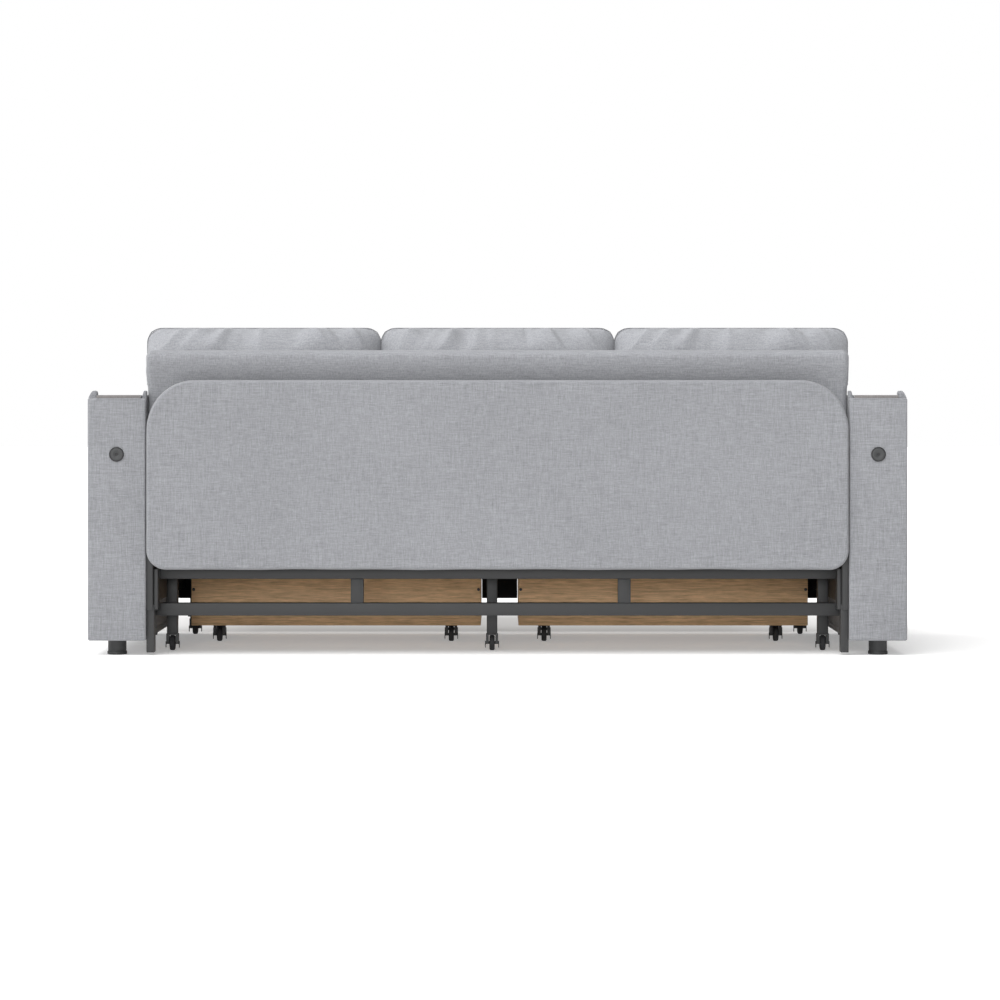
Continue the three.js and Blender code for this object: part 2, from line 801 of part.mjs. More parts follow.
// The whole sofa
for (const [side, word] of [[1, "left"], [-1, "right"]]) {
  addArm(side, word);
  add(sofa, `side_frame_${word}`, sideFrame(side), steel);
}
add(sofa, "rear_rail_upper", rearRail(upperRailBottom), steel);
add(sofa, "rear_rail_lower", rearRail(lowerRailBottom), steel);
for (const [word, share] of [["left", strutLeftShare], ["right", strutRightShare]]) {
  const strut = add(sofa, `rear_strut_${word}`, rearStrut(), steel);
  strut.position.x = share * armInnerX;
}
add(sofa, "rear_cover", rearCover(), fabric);
add(sofa, "backrest", backrest(), fabric);
addCushions();
add(sofa, "fixed_deck", fixedDeck(), beech);
addMattress();
addCarriage();
for (const [side, word] of [[1, "left"], [-1, "right"]]) addDrawer(side, word);

export default sofa;
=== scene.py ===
"""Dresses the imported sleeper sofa: upholstery, steel, oak and casters, in a pale studio.

Lengths are metres in the frame's axes: +Z up, the seat facing -Y, the back facing +Y.
"""
import math

import bmesh
import bpy
import numpy as np
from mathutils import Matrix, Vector


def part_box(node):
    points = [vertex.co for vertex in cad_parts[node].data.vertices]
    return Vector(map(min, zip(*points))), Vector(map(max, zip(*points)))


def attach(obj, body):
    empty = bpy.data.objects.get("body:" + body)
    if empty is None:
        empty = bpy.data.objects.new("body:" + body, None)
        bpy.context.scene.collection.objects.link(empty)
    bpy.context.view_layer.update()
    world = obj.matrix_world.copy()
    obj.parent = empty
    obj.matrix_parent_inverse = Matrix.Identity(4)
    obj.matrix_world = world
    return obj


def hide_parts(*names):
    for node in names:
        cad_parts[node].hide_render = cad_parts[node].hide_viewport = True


bl_info = {
    "name": "Sleeper Sofa",
    "version": (1, 0, 0),
    "blender": (4, 5, 0),
    "location": "3D View > Sidebar > Sofa",
    "description": "Builds the upholstery, frame, drawers and studio of a sleeper sofa",
    "category": "Object",
}

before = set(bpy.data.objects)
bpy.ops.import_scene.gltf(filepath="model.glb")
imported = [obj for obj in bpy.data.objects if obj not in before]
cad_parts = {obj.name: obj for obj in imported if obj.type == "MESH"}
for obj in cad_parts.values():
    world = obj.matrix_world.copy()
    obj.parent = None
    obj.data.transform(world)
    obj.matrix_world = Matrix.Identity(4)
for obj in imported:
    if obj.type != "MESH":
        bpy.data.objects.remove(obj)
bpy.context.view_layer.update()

MM = 0.001
SIDES = ((1, "left"), (-1, "right"))
WHITE = (1, 1, 1, 1)


# Sizes and colours


def length_setting(name, about, default):
    return bpy.props.FloatProperty(name=name, description=about, default=default, unit="LENGTH")


def amount_setting(name, about, default):
    return bpy.props.FloatProperty(name=name, description=about, default=default)


def colour_setting(name, about, default):
    return bpy.props.FloatVectorProperty(name=name, description=about, default=default, subtype="COLOR")


class SofaSizes(bpy.types.PropertyGroup):
    """Sizes of the upholstery and the small parts."""

    board_edge: length_setting("Board edge", "Rounding of the wrapped boards", 6.5 * MM)
    steel_edge: length_setting("Steel edge", "Rounding of the tube corners", 2 * MM)
    wood_edge: length_setting("Wood edge", "Rounding of the boards' edges", 1.2 * MM)
    welt_radius: length_setting("Welt", "Radius of the corded seams", 2.2 * MM)
    cushion_corner: length_setting("Cushion corner", "Radius of the cushions' corners", 43 * MM)
    pucker: length_setting("Pucker", "Height of the gathers at the cushions' corners", 5 * MM)
    screw_radius: length_setting("Screw head", "Radius of the screw heads", 4.2 * MM)
    slat_gap: length_setting("Slat gap", "Gap between neighbouring slats", 22 * MM)
    fixed_slats: bpy.props.IntProperty(name="Fixed slats", description="Slats of the fixed deck", default=9)


class SofaColours(bpy.types.PropertyGroup):
    """Colours of the finishes, as linear values."""

    linen: colour_setting("Linen", "Middle tone of the linen", (0.2715, 0.2765, 0.2925))
    steel: colour_setting("Steel", "Powder coat", (0.0258, 0.0263, 0.0272))
    # Painted light: the oak is set lighter than the wood's own tone, to make up for the shade under the
    # sofa.
    oak: colour_setting("Oak", "Middle tone of the oak", (0.715, 0.472, 0.262))
    slat_wood: colour_setting("Slat wood", "Middle tone of the slats", (0.5, 0.36, 0.2))
    dark_plastic: colour_setting("Dark plastic", "Feet, guide strips and screws", (0.031, 0.032, 0.033))
    cap_plastic: colour_setting("Cap plastic", "Round caps on the arms", (0.036, 0.0375, 0.039))
    rubber: colour_setting("Rubber", "Caster treads", (0.03, 0.03, 0.032))


class StudioSettings(bpy.types.PropertyGroup):
    """The camera and the light."""

    camera_distance: length_setting("Distance", "From the arms' rear faces to the lens", 8.5)
    camera_height: length_setting("Height", "Height of the lens", 0.6115)
    frame_width: length_setting("Frame width", "Width that the picture spans at the rear faces", 2.573)
    horizon_drop: amount_setting("Shift", "How far the view is shifted down, by its width", 0.082)
    sideways: length_setting("Sideways", "How far the lens stands from the middle", -0.0064)
    sky: amount_setting("Sky", "Strength of the even light", 0.34)
    key: amount_setting("Key", "Strength of the key light", 0.82)
    fill: amount_setting("Fill", "Strength of the low light from behind", 0.65)
    rim: amount_setting("Rim", "Strength of the light from the side", 1.8)
    top: amount_setting("Top", "Strength of the light from above", 1.25)
    floor_glow: amount_setting("Floor", "White added to the floor's look", 0.3)


def sizes():
    return bpy.context.scene.sofa_sizes


def colours():
    return bpy.context.scene.sofa_colours


# Node trees and shader maths


class Value:
    """A shader socket that does arithmetic by adding Math nodes."""

    def __init__(self, nodes, socket):
        self.nodes = nodes
        self.socket = socket

    def maths(self, operation, *terms):
        node = self.nodes.add("ShaderNodeMath", {"operation": operation}, dict(enumerate(terms)))
        return Value(self.nodes, node.outputs[0])

    def __add__(self, other):
        return self.maths("ADD", self, other)

    def __radd__(self, other):
        return self.maths("ADD", other, self)

    def __sub__(self, other):
        return self.maths("SUBTRACT", self, other)

    def __rsub__(self, other):
        return self.maths("SUBTRACT", other, self)

    def __mul__(self, other):
        return self.maths("MULTIPLY", self, other)

    def __rmul__(self, other):
        return self.maths("MULTIPLY", other, self)

    def sine(self):
        return self.maths("SINE", self)

    def limited(self):
        """The value held between 0 and 1."""
        node = self.nodes.add("ShaderNodeClamp", {}, {"Value": self})
        return Value(self.nodes, node.outputs[0])


class Nodes:
    """A node tree, built one node at a time."""

    def __init__(self, tree):
        self.tree = tree
        tree.nodes.clear()

    def add(self, kind, settings=None, inputs=None):
        """Adds a node, then its settings, then the values or links of its sockets."""
        node = self.tree.nodes.new(kind)
        for key, value in (settings or {}).items():
            setattr(node, key, value)
        for key, value in (inputs or {}).items():
            if isinstance(value, Value):
                value = value.socket
            if isinstance(value, bpy.types.NodeSocket):
                self.tree.links.new(value, node.inputs[key])
            else:
                node.inputs[key].default_value = value
        return node


class Recipe(Nodes):
    """A material and the nodes that make it."""

    def __init__(self, name):
        self.material = bpy.data.materials.new(name)
        self.material.use_nodes = True
        super().__init__(self.material.node_tree)
        self.place = self.add("ShaderNodeTexCoord").outputs["Object"]

    def axis(self, index):
        """One coordinate of the place, in metres."""
        split = self.add("ShaderNodeSeparateXYZ", {}, {0: self.place})
        return Value(self, split.outputs[index])

    def noise(self, cells, detail=2.0, roughness=0.55):
        """Noise with its own number of cells to the metre along each axis."""
        mapped = self.add("ShaderNodeMapping", {}, {"Vector": self.place, "Scale": cells})
        inputs = {"Vector": mapped.outputs[0], "Scale": 1.0, "Detail": detail, "Roughness": roughness}
        node = self.add("ShaderNodeTexNoise", {}, inputs)
        return Value(self, node.outputs[0])

    def blend(self, share, first, second):
        """A colour between two colours."""
        node = self.add("ShaderNodeMix", {"data_type": "RGBA"}, {0: share, 6: first, 7: second})
        return node.outputs[2]

    def relief(self, height, depth, strength=1.0):
        """A bump of the given depth in metres."""
        inputs = {"Height": height, "Distance": depth, "Strength": strength}
        return self.add("ShaderNodeBump", {}, inputs).outputs[0]

    def surface(self, **sockets):
        """The finished material. Names are those of the shader's sockets, with _ for a space."""
        inputs = {key.replace("_", " "): value for key, value in sockets.items()}
        return self.ended(self.add("ShaderNodeBsdfPrincipled", {}, inputs))

    def ended(self, shader):
        self.add("ShaderNodeOutputMaterial", {}, {0: shader.outputs[0]})
        return self.material


class Tree(Nodes):
    """A Geometry Nodes tree with named inputs."""

    def __init__(self, name):
        super().__init__(bpy.data.node_groups.new(name, "GeometryNodeTree"))
        self.tree.is_modifier = True
        for way in ("INPUT", "OUTPUT"):
            self.tree.interface.new_socket("Geometry", in_out=way, socket_type="NodeSocketGeometry")
        self.start = self.tree.nodes.new("NodeGroupInput")
        self.end = self.tree.nodes.new("NodeGroupOutput")

    def input(self, name, default, kind="Float"):
        socket = self.tree.interface.new_socket(name, in_out="INPUT", socket_type=f"NodeSocket{kind}")
        socket.default_value = default
        return self.start.outputs[name]

    def on_points(self, shape, **inputs):
        """Copies of a shape on the points that the tree is given."""
        points = self.add("GeometryNodeMeshToPoints", {}, {0: self.start.outputs[0]})
        inputs = {0: points.outputs[0], "Instance": shape.outputs[0], **inputs}
        return self.add("GeometryNodeInstanceOnPoints", {}, inputs)

    def finish(self, last, material):
        """Ends the tree with Realize Instances and Set Material."""
        real = self.add("GeometryNodeRealizeInstances", {}, {0: last.outputs[0]})
        painted = self.add("GeometryNodeSetMaterial", {}, {0: real.outputs[0], "Material": material})
        self.tree.links.new(painted.outputs[0], self.end.inputs[0])
        return self.tree


# Finishes


def tone(colour, factor):
    return (colour[0] * factor, colour[1] * factor, colour[2] * factor, 1.0)


def linen(name, base, lift=1.0):
    """Heathered linen: slubs along each axis, a fine weave and a slow change of tone."""
    recipe = Recipe(name)
    thread, slub = 1 / (2.1 * MM), 1 / (34 * MM)
    hair, strand = 1 / (1.1 * MM), 1 / (11 * MM)
    along_x = recipe.noise((slub, thread, thread), 2.5)
    along_y = recipe.noise((thread, slub, thread), 2.5)
    along_z = recipe.noise((thread, thread, slub), 2.5)
    fine_x = recipe.noise((strand, hair, hair), 1.5)
    fine_z = recipe.noise((hair, hair, strand), 1.5)
    slow = recipe.noise((2.4, 2.4, 2.4), 3.0)
    threads = (along_x + along_z) * 0.42 + along_y * 0.16
    fine = (fine_x + fine_z) * 0.5
    weave = ((threads - 0.5) * 2.3 + (fine - 0.5) * 1.5 + (slow - 0.5) * 0.35 + 0.5).limited()
    return recipe.surface(
        # A lift above 1 makes the lighter copies, which paint light; one below 1 makes a darker copy, which
        # paints shade.
        Base_Color=recipe.blend(weave, tone(base, 0.7 * lift), tone(base, 1.3 * lift)),
        Roughness=0.86 + weave * 0.1,
        Normal=recipe.relief(threads + fine * 0.8, 0.9 * MM, 0.55),
        Sheen_Weight=0.25,
        Sheen_Roughness=0.45,
        Specular_IOR_Level=0.25,
    )


def powder_coat(name, base):
    """Satin powder coat: a fine orange peel, with slow changes of tone and gloss."""
    recipe = Recipe(name)
    peel = recipe.noise((900, 900, 900))
    dust = recipe.noise((160, 160, 160), 4.0)
    slow = recipe.noise((7, 7, 7), 3.0)
    share = ((slow - 0.5) * 0.9 + (dust - 0.5) * 0.5 + 0.5).limited()
    return recipe.surface(
        Base_Color=recipe.blend(share, tone(base, 0.85), tone(base, 1.16)),
        Roughness=0.44 + dust * 0.14,
        Normal=recipe.relief(peel, 0.15 * MM, 0.35),
    )


def oak(name, base, along):
    """Oak with its grain along an axis: growth rings, darker streaks and flecks, and short pores."""
    recipe = Recipe(name)
    across = [index for index in range(3) if index != along]

    def grain(long_cells, wide_cells, *detail):
        cells = [wide_cells] * 3
        cells[along] = long_cells
        return recipe.noise(tuple(cells), *detail)

    ring_width, ring_drift = 13 * MM, 46 * MM
    ring_place = recipe.axis(across[1]) + recipe.axis(across[0]) * 0.35 + grain(2.2, 9, 3.0) * ring_drift
    rings = (ring_place * (2 * math.pi / ring_width)).sine() * 0.5 + 0.5
    streak = grain(3.5, 220, 5.0, 0.65)
    slow = grain(3, 14)
    fleck = grain(24, 320, 3.0, 0.6)
    figure = (rings * 0.14 + streak * 0.7 + slow * 0.6 + (fleck - 0.5) * 2.2 - 0.22).limited()
    pores = ((grain(45, 1500) - 0.6) * 7.0).limited()
    wood = recipe.blend(figure, tone(base, 0.7), tone(base, 1.28))
    return recipe.surface(
        Base_Color=recipe.blend(pores * 0.45, wood, tone(base, 0.45)),
        Roughness=0.52 + pores * 0.2,
        Normal=recipe.relief(figure - pores, 0.3 * MM, 0.35),
        Specular_IOR_Level=0.35,
    )


def moulded(name, base, rough=0.5):
    """Moulded plastic or rubber: a fine grain and small changes of gloss."""
    recipe = Recipe(name)
    grain = recipe.noise((1300, 1300, 1300))
    slow = recipe.noise((40, 40, 40), 3.0)
    return recipe.surface(
        Base_Color=recipe.blend(slow, tone(base, 0.85), tone(base, 1.2)),
        Roughness=rough + slow * 0.12,
        Normal=recipe.relief(grain, 0.1 * MM, 0.3),
    )


FINISHES = {}


def finish(name):
    """The named finish, made the first time that it is asked for."""
    shade = colours()
    makers = {
        "linen": lambda: linen("linen", shade.linen),
        # Painted light: a lighter copy of the linen for the cushions and the mattress, standing in for the
        # top light on them.
        "cushion_linen": lambda: linen("cushion_linen", shade.linen, 1.2),
        # Painted light: a lighter copy of the linen for the backrest, which makes its shading fall off more
        # slowly.
        "back_linen": lambda: linen("back_linen", shade.linen, 1.07),
        # Painted shade: a darker copy of the linen for the cushions' seam cords, for the shade along their
        # seams.
        "seam_linen": lambda: linen("seam_linen", shade.linen, 0.75),
        # Painted shade: a dark linen for the tape on the lids' rear edges, standing in for the shade there.
        "painted_shade_tape": lambda: linen("binding_tape", (0.215, 0.203, 0.2)),
        "steel": lambda: powder_coat("powder_coat", shade.steel),
        "oak_wide": lambda: oak("oak_along_width", shade.oak, 0),
        "oak_deep": lambda: oak("oak_along_depth", shade.oak, 1),
        # Painted shade: a darker copy of the oak for the drawers' fronts, to match the shaded rear boards.
        "oak_front_painted_shade": lambda: oak("oak_of_fronts", tone(shade.oak, 0.62), 0),
        "slat_deep": lambda: oak("slat_wood_along_depth", shade.slat_wood, 1),
        "slat_wide": lambda: oak("slat_wood_along_width", shade.slat_wood, 0),
        "dark_plastic": lambda: moulded("dark_plastic", shade.dark_plastic),
        "cap_plastic": lambda: moulded("cap_plastic", shade.cap_plastic, 0.42),
        "rubber": lambda: moulded("rubber", shade.rubber, 0.72),
        # Near-black for the casters' small parts, and painted shade on the caps' rims and sockets.
        "caster_black": lambda: moulded("caster_black", (0.014, 0.014, 0.015)),
        "lining": lambda: moulded("black_lining", (0.008, 0.008, 0.009), 0.85),
    }
    if name not in FINISHES:
        FINISHES[name] = makers[name]()
    return FINISHES[name]


# Making meshes and pieces


def add_object(name, data):
    made = bpy.data.objects.new(name, data)
    bpy.context.scene.collection.objects.link(made)
    return made


def new_piece(name, mesh, finish_name, body, replaced=(), sharp=38):
    """Turns a mesh into a piece that rides on a body and takes a finish."""
    piece = add_object(name, mesh)
    mesh.materials.clear()
    mesh.materials.append(finish(finish_name))
    mesh.shade_smooth()
    mesh.set_sharp_from_angle(angle=math.radians(sharp))
    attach(piece, body)
    if replaced:
        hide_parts(*replaced)
    return piece


def mesh_from(shape, name):
    """A mesh from a bmesh, with its faces pointing out."""
    bmesh.ops.recalc_face_normals(shape, faces=shape.faces)
    mesh = bpy.data.meshes.new(name)
    shape.to_mesh(mesh)
    shape.free()
    return mesh


def plain_mesh(host, name):
    """The mesh that an object's modifiers make. The object itself goes."""
    graph = bpy.context.evaluated_depsgraph_get()
    mesh = bpy.data.meshes.new_from_object(host.evaluated_get(graph))
    bpy.data.objects.remove(host)
    mesh.name = name
    return mesh


def eased(shape, width, segments=3):
    """Rounds the sharp edges of a shape."""
    sharp = math.radians(32)
    edges = [edge for edge in shape.edges if edge.is_manifold and edge.calc_face_angle(0) > sharp]
    bmesh.ops.bevel(
        shape, geom=edges, offset=width, offset_type="OFFSET", segments=segments, profile=0.5,
        affect="EDGES", clamp_overlap=True,
    )
    return shape


def node_shape(node):
    """A merged copy of a CAD node, with its flat faces whole."""
    shape = bmesh.new()
    shape.from_mesh(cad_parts[node].data)
    bmesh.ops.remove_doubles(shape, verts=shape.verts, dist=0.01 * MM)
    bmesh.ops.dissolve_limit(shape, angle_limit=math.radians(1), verts=shape.verts, edges=shape.edges)
    return shape


def eased_node(node, finish_name, body, width, segments=3):
    """A piece with a CAD node's form and rounded edges, which stands for it."""
    shape = eased(node_shape(node), width, segments)
    new_piece(f"{node}_eased", mesh_from(shape, node), finish_name, body, [node])


def block_mesh(name, blocks, edge=0, segments=2):
    """A mesh of closed blocks, each between two corners, with rounded edges."""
    shape = bmesh.new()
    for low, high in blocks:
        low, high = Vector(low), Vector(high)
        for vert in bmesh.ops.create_cube(shape, size=1.0)["verts"]:
            vert.co = Vector(low[i] + (vert.co[i] + 0.5) * (high[i] - low[i]) for i in range(3))
    return mesh_from(eased(shape, edge, segments) if edge else shape, name)


def add_face(shape, corners):
    """Adds a face, unless fewer than three of its corners differ."""
    unique = list(dict.fromkeys(corners))
    if len(unique) > 2:
        shape.faces.new(unique)


def join_rings(shape, first, second):
    """Adds the faces between two rings of corners. A ring may be a single point."""
    sides = max(len(first), len(second))
    for step in range(sides):
        nxt = (step + 1) % sides
        near = [first[step % len(first)], first[nxt % len(first)]]
        far = [second[nxt % len(second)], second[step % len(second)]]
        add_face(shape, near + far)


def turned_mesh(name, profile, centre, sides, axis="x", is_ring=False):
    """A body turned about an axis through centre, from pairs of a radius and a place along the axis."""
    shape = bmesh.new()
    rings = []
    for radius, along in profile:
        turns = [2 * math.pi * step / sides for step in range(sides if radius else 1)]
        outs = [Vector((along, radius * math.cos(turn), radius * math.sin(turn))) for turn in turns]
        rings.append([shape.verts.new(centre + out) for out in outs])
    for first, second in zip(rings, rings[1:]):
        join_rings(shape, first, second)
    if is_ring:
        join_rings(shape, rings[-1], rings[0])
    if axis != "x":
        for vert in shape.verts:
            out = vert.co - centre
            vert.co = centre + Vector((-out.y, out.x, out.z) if axis == "y" else (-out.z, out.y, out.x))
    return mesh_from(shape, name)


def middle_of(node):
    low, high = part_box(node)
    return (low + high) / 2


def smooth_step(values, start, end):
    share = np.clip((values - start) / (end - start), 0, 1)
    return share * share * (3 - 2 * share)


# Rounded-rectangle rings, which make the padded panels and layers


def quarter_turn(steps):
    return [math.pi / 2 * step / steps for step in range(steps + 1)]


def rounded_ring(half_a, half_b, radii, inset, corner_steps, side_steps):
    """Points of a rounded rectangle, drawn in by inset. radii go round from the corner at +a, +b."""
    a, b = half_a - inset, half_b - inset
    least, most = min(a, b) * 0.05, min(a, b) * 0.98
    arcs = []
    for index, (sign_a, sign_b) in enumerate(((1, 1), (-1, 1), (-1, -1), (1, -1))):
        radius = min(max(radii[index] - inset, least), most)
        x, y = sign_a * (a - radius), sign_b * (b - radius)
        turns = [turn + index * math.pi / 2 for turn in quarter_turn(corner_steps)]
        arcs.append([(x + radius * math.cos(turn), y + radius * math.sin(turn)) for turn in turns])
    points = []
    for index, arc in enumerate(arcs):
        points.extend(arc)
        last, nxt = arc[-1], arcs[(index + 1) % 4][0]
        count = side_steps[index % 2]
        for step in range(1, count):
            share = 0.5 - 0.5 * math.cos(math.pi * step / count)
            points.append((last[0] + (nxt[0] - last[0]) * share, last[1] + (nxt[1] - last[1]) * share))
    return np.array(points)


class PaddedForm:
    """Rings of a rounded rectangle in two axes, at heights along the third, closed at both ends."""

    def __init__(self, low, high, axes, radii, profile, corner_steps, side_steps):
        self.axes = axes
        self.middle, self.half = (low + high) / 2, (high - low) / 2
        a, b, up = axes
        rings = []
        for inset, height in profile:
            ring = rounded_ring(self.half[a], self.half[b], radii, inset, corner_steps, side_steps)
            points = np.zeros((len(ring), 3))
            points[:, a] = ring[:, 0] + self.middle[a]
            points[:, b] = ring[:, 1] + self.middle[b]
            points[:, up] = height
            rings.append(points)
        self.insets = np.array([inset for inset, _ in profile])
        self.points = np.array(rings)

    def shares(self):
        """How far each point lies from the middle along the two ring axes, from -1 to 1."""
        return [(self.points[:, :, axis] - self.middle[axis]) / self.half[axis] for axis in self.axes[:2]]

    def mesh(self, name):
        shape = bmesh.new()
        rows = [[shape.verts.new(point) for point in ring] for ring in self.points]
        for first, second in zip(rows, rows[1:]):
            join_rings(shape, first, second)
        count = len(rows[0])
        for ring in (rows[0], rows[-1]):
            for step in range(count // 2):
                far = [ring[(count - step - 1) % count], ring[(count - step) % count]]
                add_face(shape, [ring[step], ring[step + 1]] + far)
        return mesh_from(shape, name)


def flat_insets(limit, count, roll):
    """Insets of the rings across a flat face, inside its rolled edge and closer together near it."""
    insets = [limit * (step / count) ** 1.6 for step in range(1, count + 1)]
    return [inset for inset in insets if inset > roll]


def rolled_profile(rear, front, roll, flat, edge_steps):
    """Insets and heights from the middle of the rear face, round the edge, to the middle of the front."""
    middle, half = (rear + front) / 2, (front - rear) / 2
    side = [(roll * (1 - math.cos(turn)), half * math.sin(turn)) for turn in quarter_turn(edge_steps)]
    outward = side + [(inset, half) for inset in flat]
    rear_rows = [(inset, middle - height) for inset, height in reversed(outward)]
    return rear_rows + [(inset, middle + height) for inset, height in outward[1:]]


def boxed_profile(low, high, roll, flat):
    """As rolled_profile, but the edges roll over a short way, with a tall straight side between them."""
    top = [(roll * (1 - math.cos(turn)), high - roll * (1 - math.sin(turn))) for turn in quarter_turn(7)]
    upper = top + [(inset, high) for inset in flat]
    lower = [(inset, low + high - height) for inset, height in reversed(upper)]
    side_rows = 26
    span = high - low - roll * 2
    side = [(0.0, low + roll + span * step / side_rows) for step in range(1, side_rows)]
    return lower + side + upper


# What repeats and what follows a path, made by Geometry Nodes


def grown(name, tree, source, values):
    """The plain mesh that a tree grows from a source mesh or curve, with the named inputs set."""
    host = add_object(f"{name}_host", source)
    modifier = host.modifiers.new("grow", "NODES")
    modifier.node_group = tree
    for item in tree.interface.items_tree:
        if item.item_type == "SOCKET" and item.in_out == "INPUT" and item.name in values:
            modifier[item.identifier] = values[item.name]
    return plain_mesh(host, name)


def path_curve(points, closed):
    """A poly curve through points."""
    curve = bpy.data.curves.new("path", "CURVE")
    curve.dimensions = "3D"
    spline = curve.splines.new("POLY")
    spline.points.add(len(points) - 1)
    for target, point in zip(spline.points, points):
        target.co = (*point, 1.0)
    spline.use_cyclic_u = closed
    return curve


def points_mesh(points):
    mesh = bpy.data.meshes.new("points")
    mesh.from_pydata([tuple(point) for point in points], [], [])
    return mesh


def swept(tree, path, section):
    return tree.add("GeometryNodeCurveToMesh", {}, {0: path, 1: section.outputs[0], "Fill Caps": True})


def welt_tree(material):
    """A cord that follows a path."""
    tree = Tree("welt")
    inputs = {"Resolution": 10, "Radius": tree.input("Radius", 2 * MM)}
    circle = tree.add("GeometryNodeCurvePrimitiveCircle", {"mode": "RADIUS"}, inputs)
    return tree.finish(swept(tree, tree.start.outputs[0], circle), material)


def screw_tree(material):
    """Round-headed screws on points, whose heads face along the given turn."""
    tree = Tree("screws")
    radius = tree.input("Radius", 4 * MM)
    height = tree.input("Height", 1.6 * MM)
    turn = tree.input("Turn", (0.0, 0.0, 0.0), "Vector")
    head = tree.add("GeometryNodeMeshUVSphere", {}, {"Segments": 18, "Rings": 8, "Radius": 1.0})
    scale = tree.add("ShaderNodeCombineXYZ", {}, {0: radius, 1: radius, 2: height})
    shaped = tree.add("GeometryNodeTransform", {}, {0: head.outputs[0], "Scale": scale.outputs[0]})
    turned = tree.add("FunctionNodeEulerToRotation", {}, {0: turn})
    return tree.finish(tree.on_points(shaped, Rotation=turned.outputs[0]), material)


def slat_tree(material):
    """Flat slats with rounded edges, one on each point, running forward from it."""
    tree = Tree("slats")
    inputs = {"Width": tree.input("Width", 70 * MM), "Height": tree.input("Thickness", 14 * MM)}
    section = tree.add("GeometryNodeCurvePrimitiveQuadrilateral", {"mode": "RECTANGLE"}, inputs)
    inputs = {0: section.outputs[0], "Count": 3, "Radius": tree.input("Rounding", 3 * MM)}
    soft = tree.add("GeometryNodeFilletCurve", {"mode": "POLY"}, inputs)
    inputs = {0: (0.0, -1.0, 0.0), "Scale": tree.input("Length", 0.7)}
    forward = tree.add("ShaderNodeVectorMath", {"operation": "SCALE"}, inputs)
    run = tree.add("GeometryNodeCurvePrimitiveLine", {}, {"End": forward.outputs[0]})
    return tree.finish(tree.on_points(swept(tree, run.outputs[0], soft)), material)


TREES = {}


def tree_for(kind, finish_name):
    """The tree of a kind with a finish, made the first time that it is asked for."""
    makers = {"welt": welt_tree, "screw": screw_tree, "slat": slat_tree}
    key = (kind, finish_name)
    if key not in TREES:
        TREES[key] = makers[kind](finish(finish_name))
    return TREES[key]


def make_welt(name, points, finish_name, body, closed=True, radius=None):
    """A corded seam along points."""
    values = {"Radius": radius or sizes().welt_radius}
    mesh = grown(name, tree_for("welt", finish_name), path_curve(points, closed), values)
    new_piece(name, mesh, finish_name, body)


def make_screws(name, points, turn, finish_name, body):
    """Screws whose heads stand on points."""
    values = {"Radius": sizes().screw_radius, "Turn": turn}
    mesh = grown(name, tree_for("screw", finish_name), points_mesh(points), values)
    new_piece(name, mesh, finish_name, body)


# Arms


def make_panel(side, node):
    """A side panel whose lip narrows towards its top."""
    low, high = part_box(node)
    foot_of_lip, taper = 664 * MM, 0.4
    shape = node_shape(node)
    everything = shape.verts[:] + shape.edges[:] + shape.faces[:]
    bmesh.ops.bisect_plane(shape, geom=everything, plane_co=(0, 0, foot_of_lip), plane_no=(0, 0, 1))
    eased(shape, 1.6 * MM, 2)
    face = high.x if side > 0 else low.x
    thickness = high.x - low.x
    for vert in shape.verts:
        rise = min(max((vert.co.z - foot_of_lip) / (high.z - foot_of_lip), 0), 1)
        share = 1 - abs(vert.co.x - face) / thickness
        vert.co.x -= side * share * rise * thickness * taper
    new_piece(f"{node}_eased", mesh_from(shape, node), "linen", "base", [node])


def make_arm(side, word):
    """The wrapped boards and panels of one arm, with its lid, and a dark tape along the lid's rear edge
    that paints the shade on that edge.
    """
    eased_node(f"arm_box_{word}", "linen", "base", sizes().board_edge, segments=4)
    for place in ("outer", "inner"):
        make_panel(side, f"arm_{place}_panel_{word}")
    lid = f"lid_{word}"
    eased_node(f"arm_lid_{word}", "linen", lid, 2.2 * MM)
    low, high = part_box(f"arm_lid_{word}")
    box_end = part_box(f"arm_box_{word}")[1]
    over = 0.6 * MM
    # The tape is a dark strip of painted shade along the lid's rear edge.
    tape = (low.x, high.y - over, box_end.z + 0.1 * MM), (high.x, high.y + over, high.z - 0.5 * MM)
    new_piece(f"lid_tape_{word}", block_mesh("tape", [tape], 0.25 * MM), "painted_shade_tape", lid)
    rear, height = box_end.y - 1.6 * MM, box_end.z - 2.2 * MM
    fold = [(low.x, rear, height), (high.x, rear, height)]
    make_welt(f"arm_fold_{word}", fold, "linen", "base", closed=False)


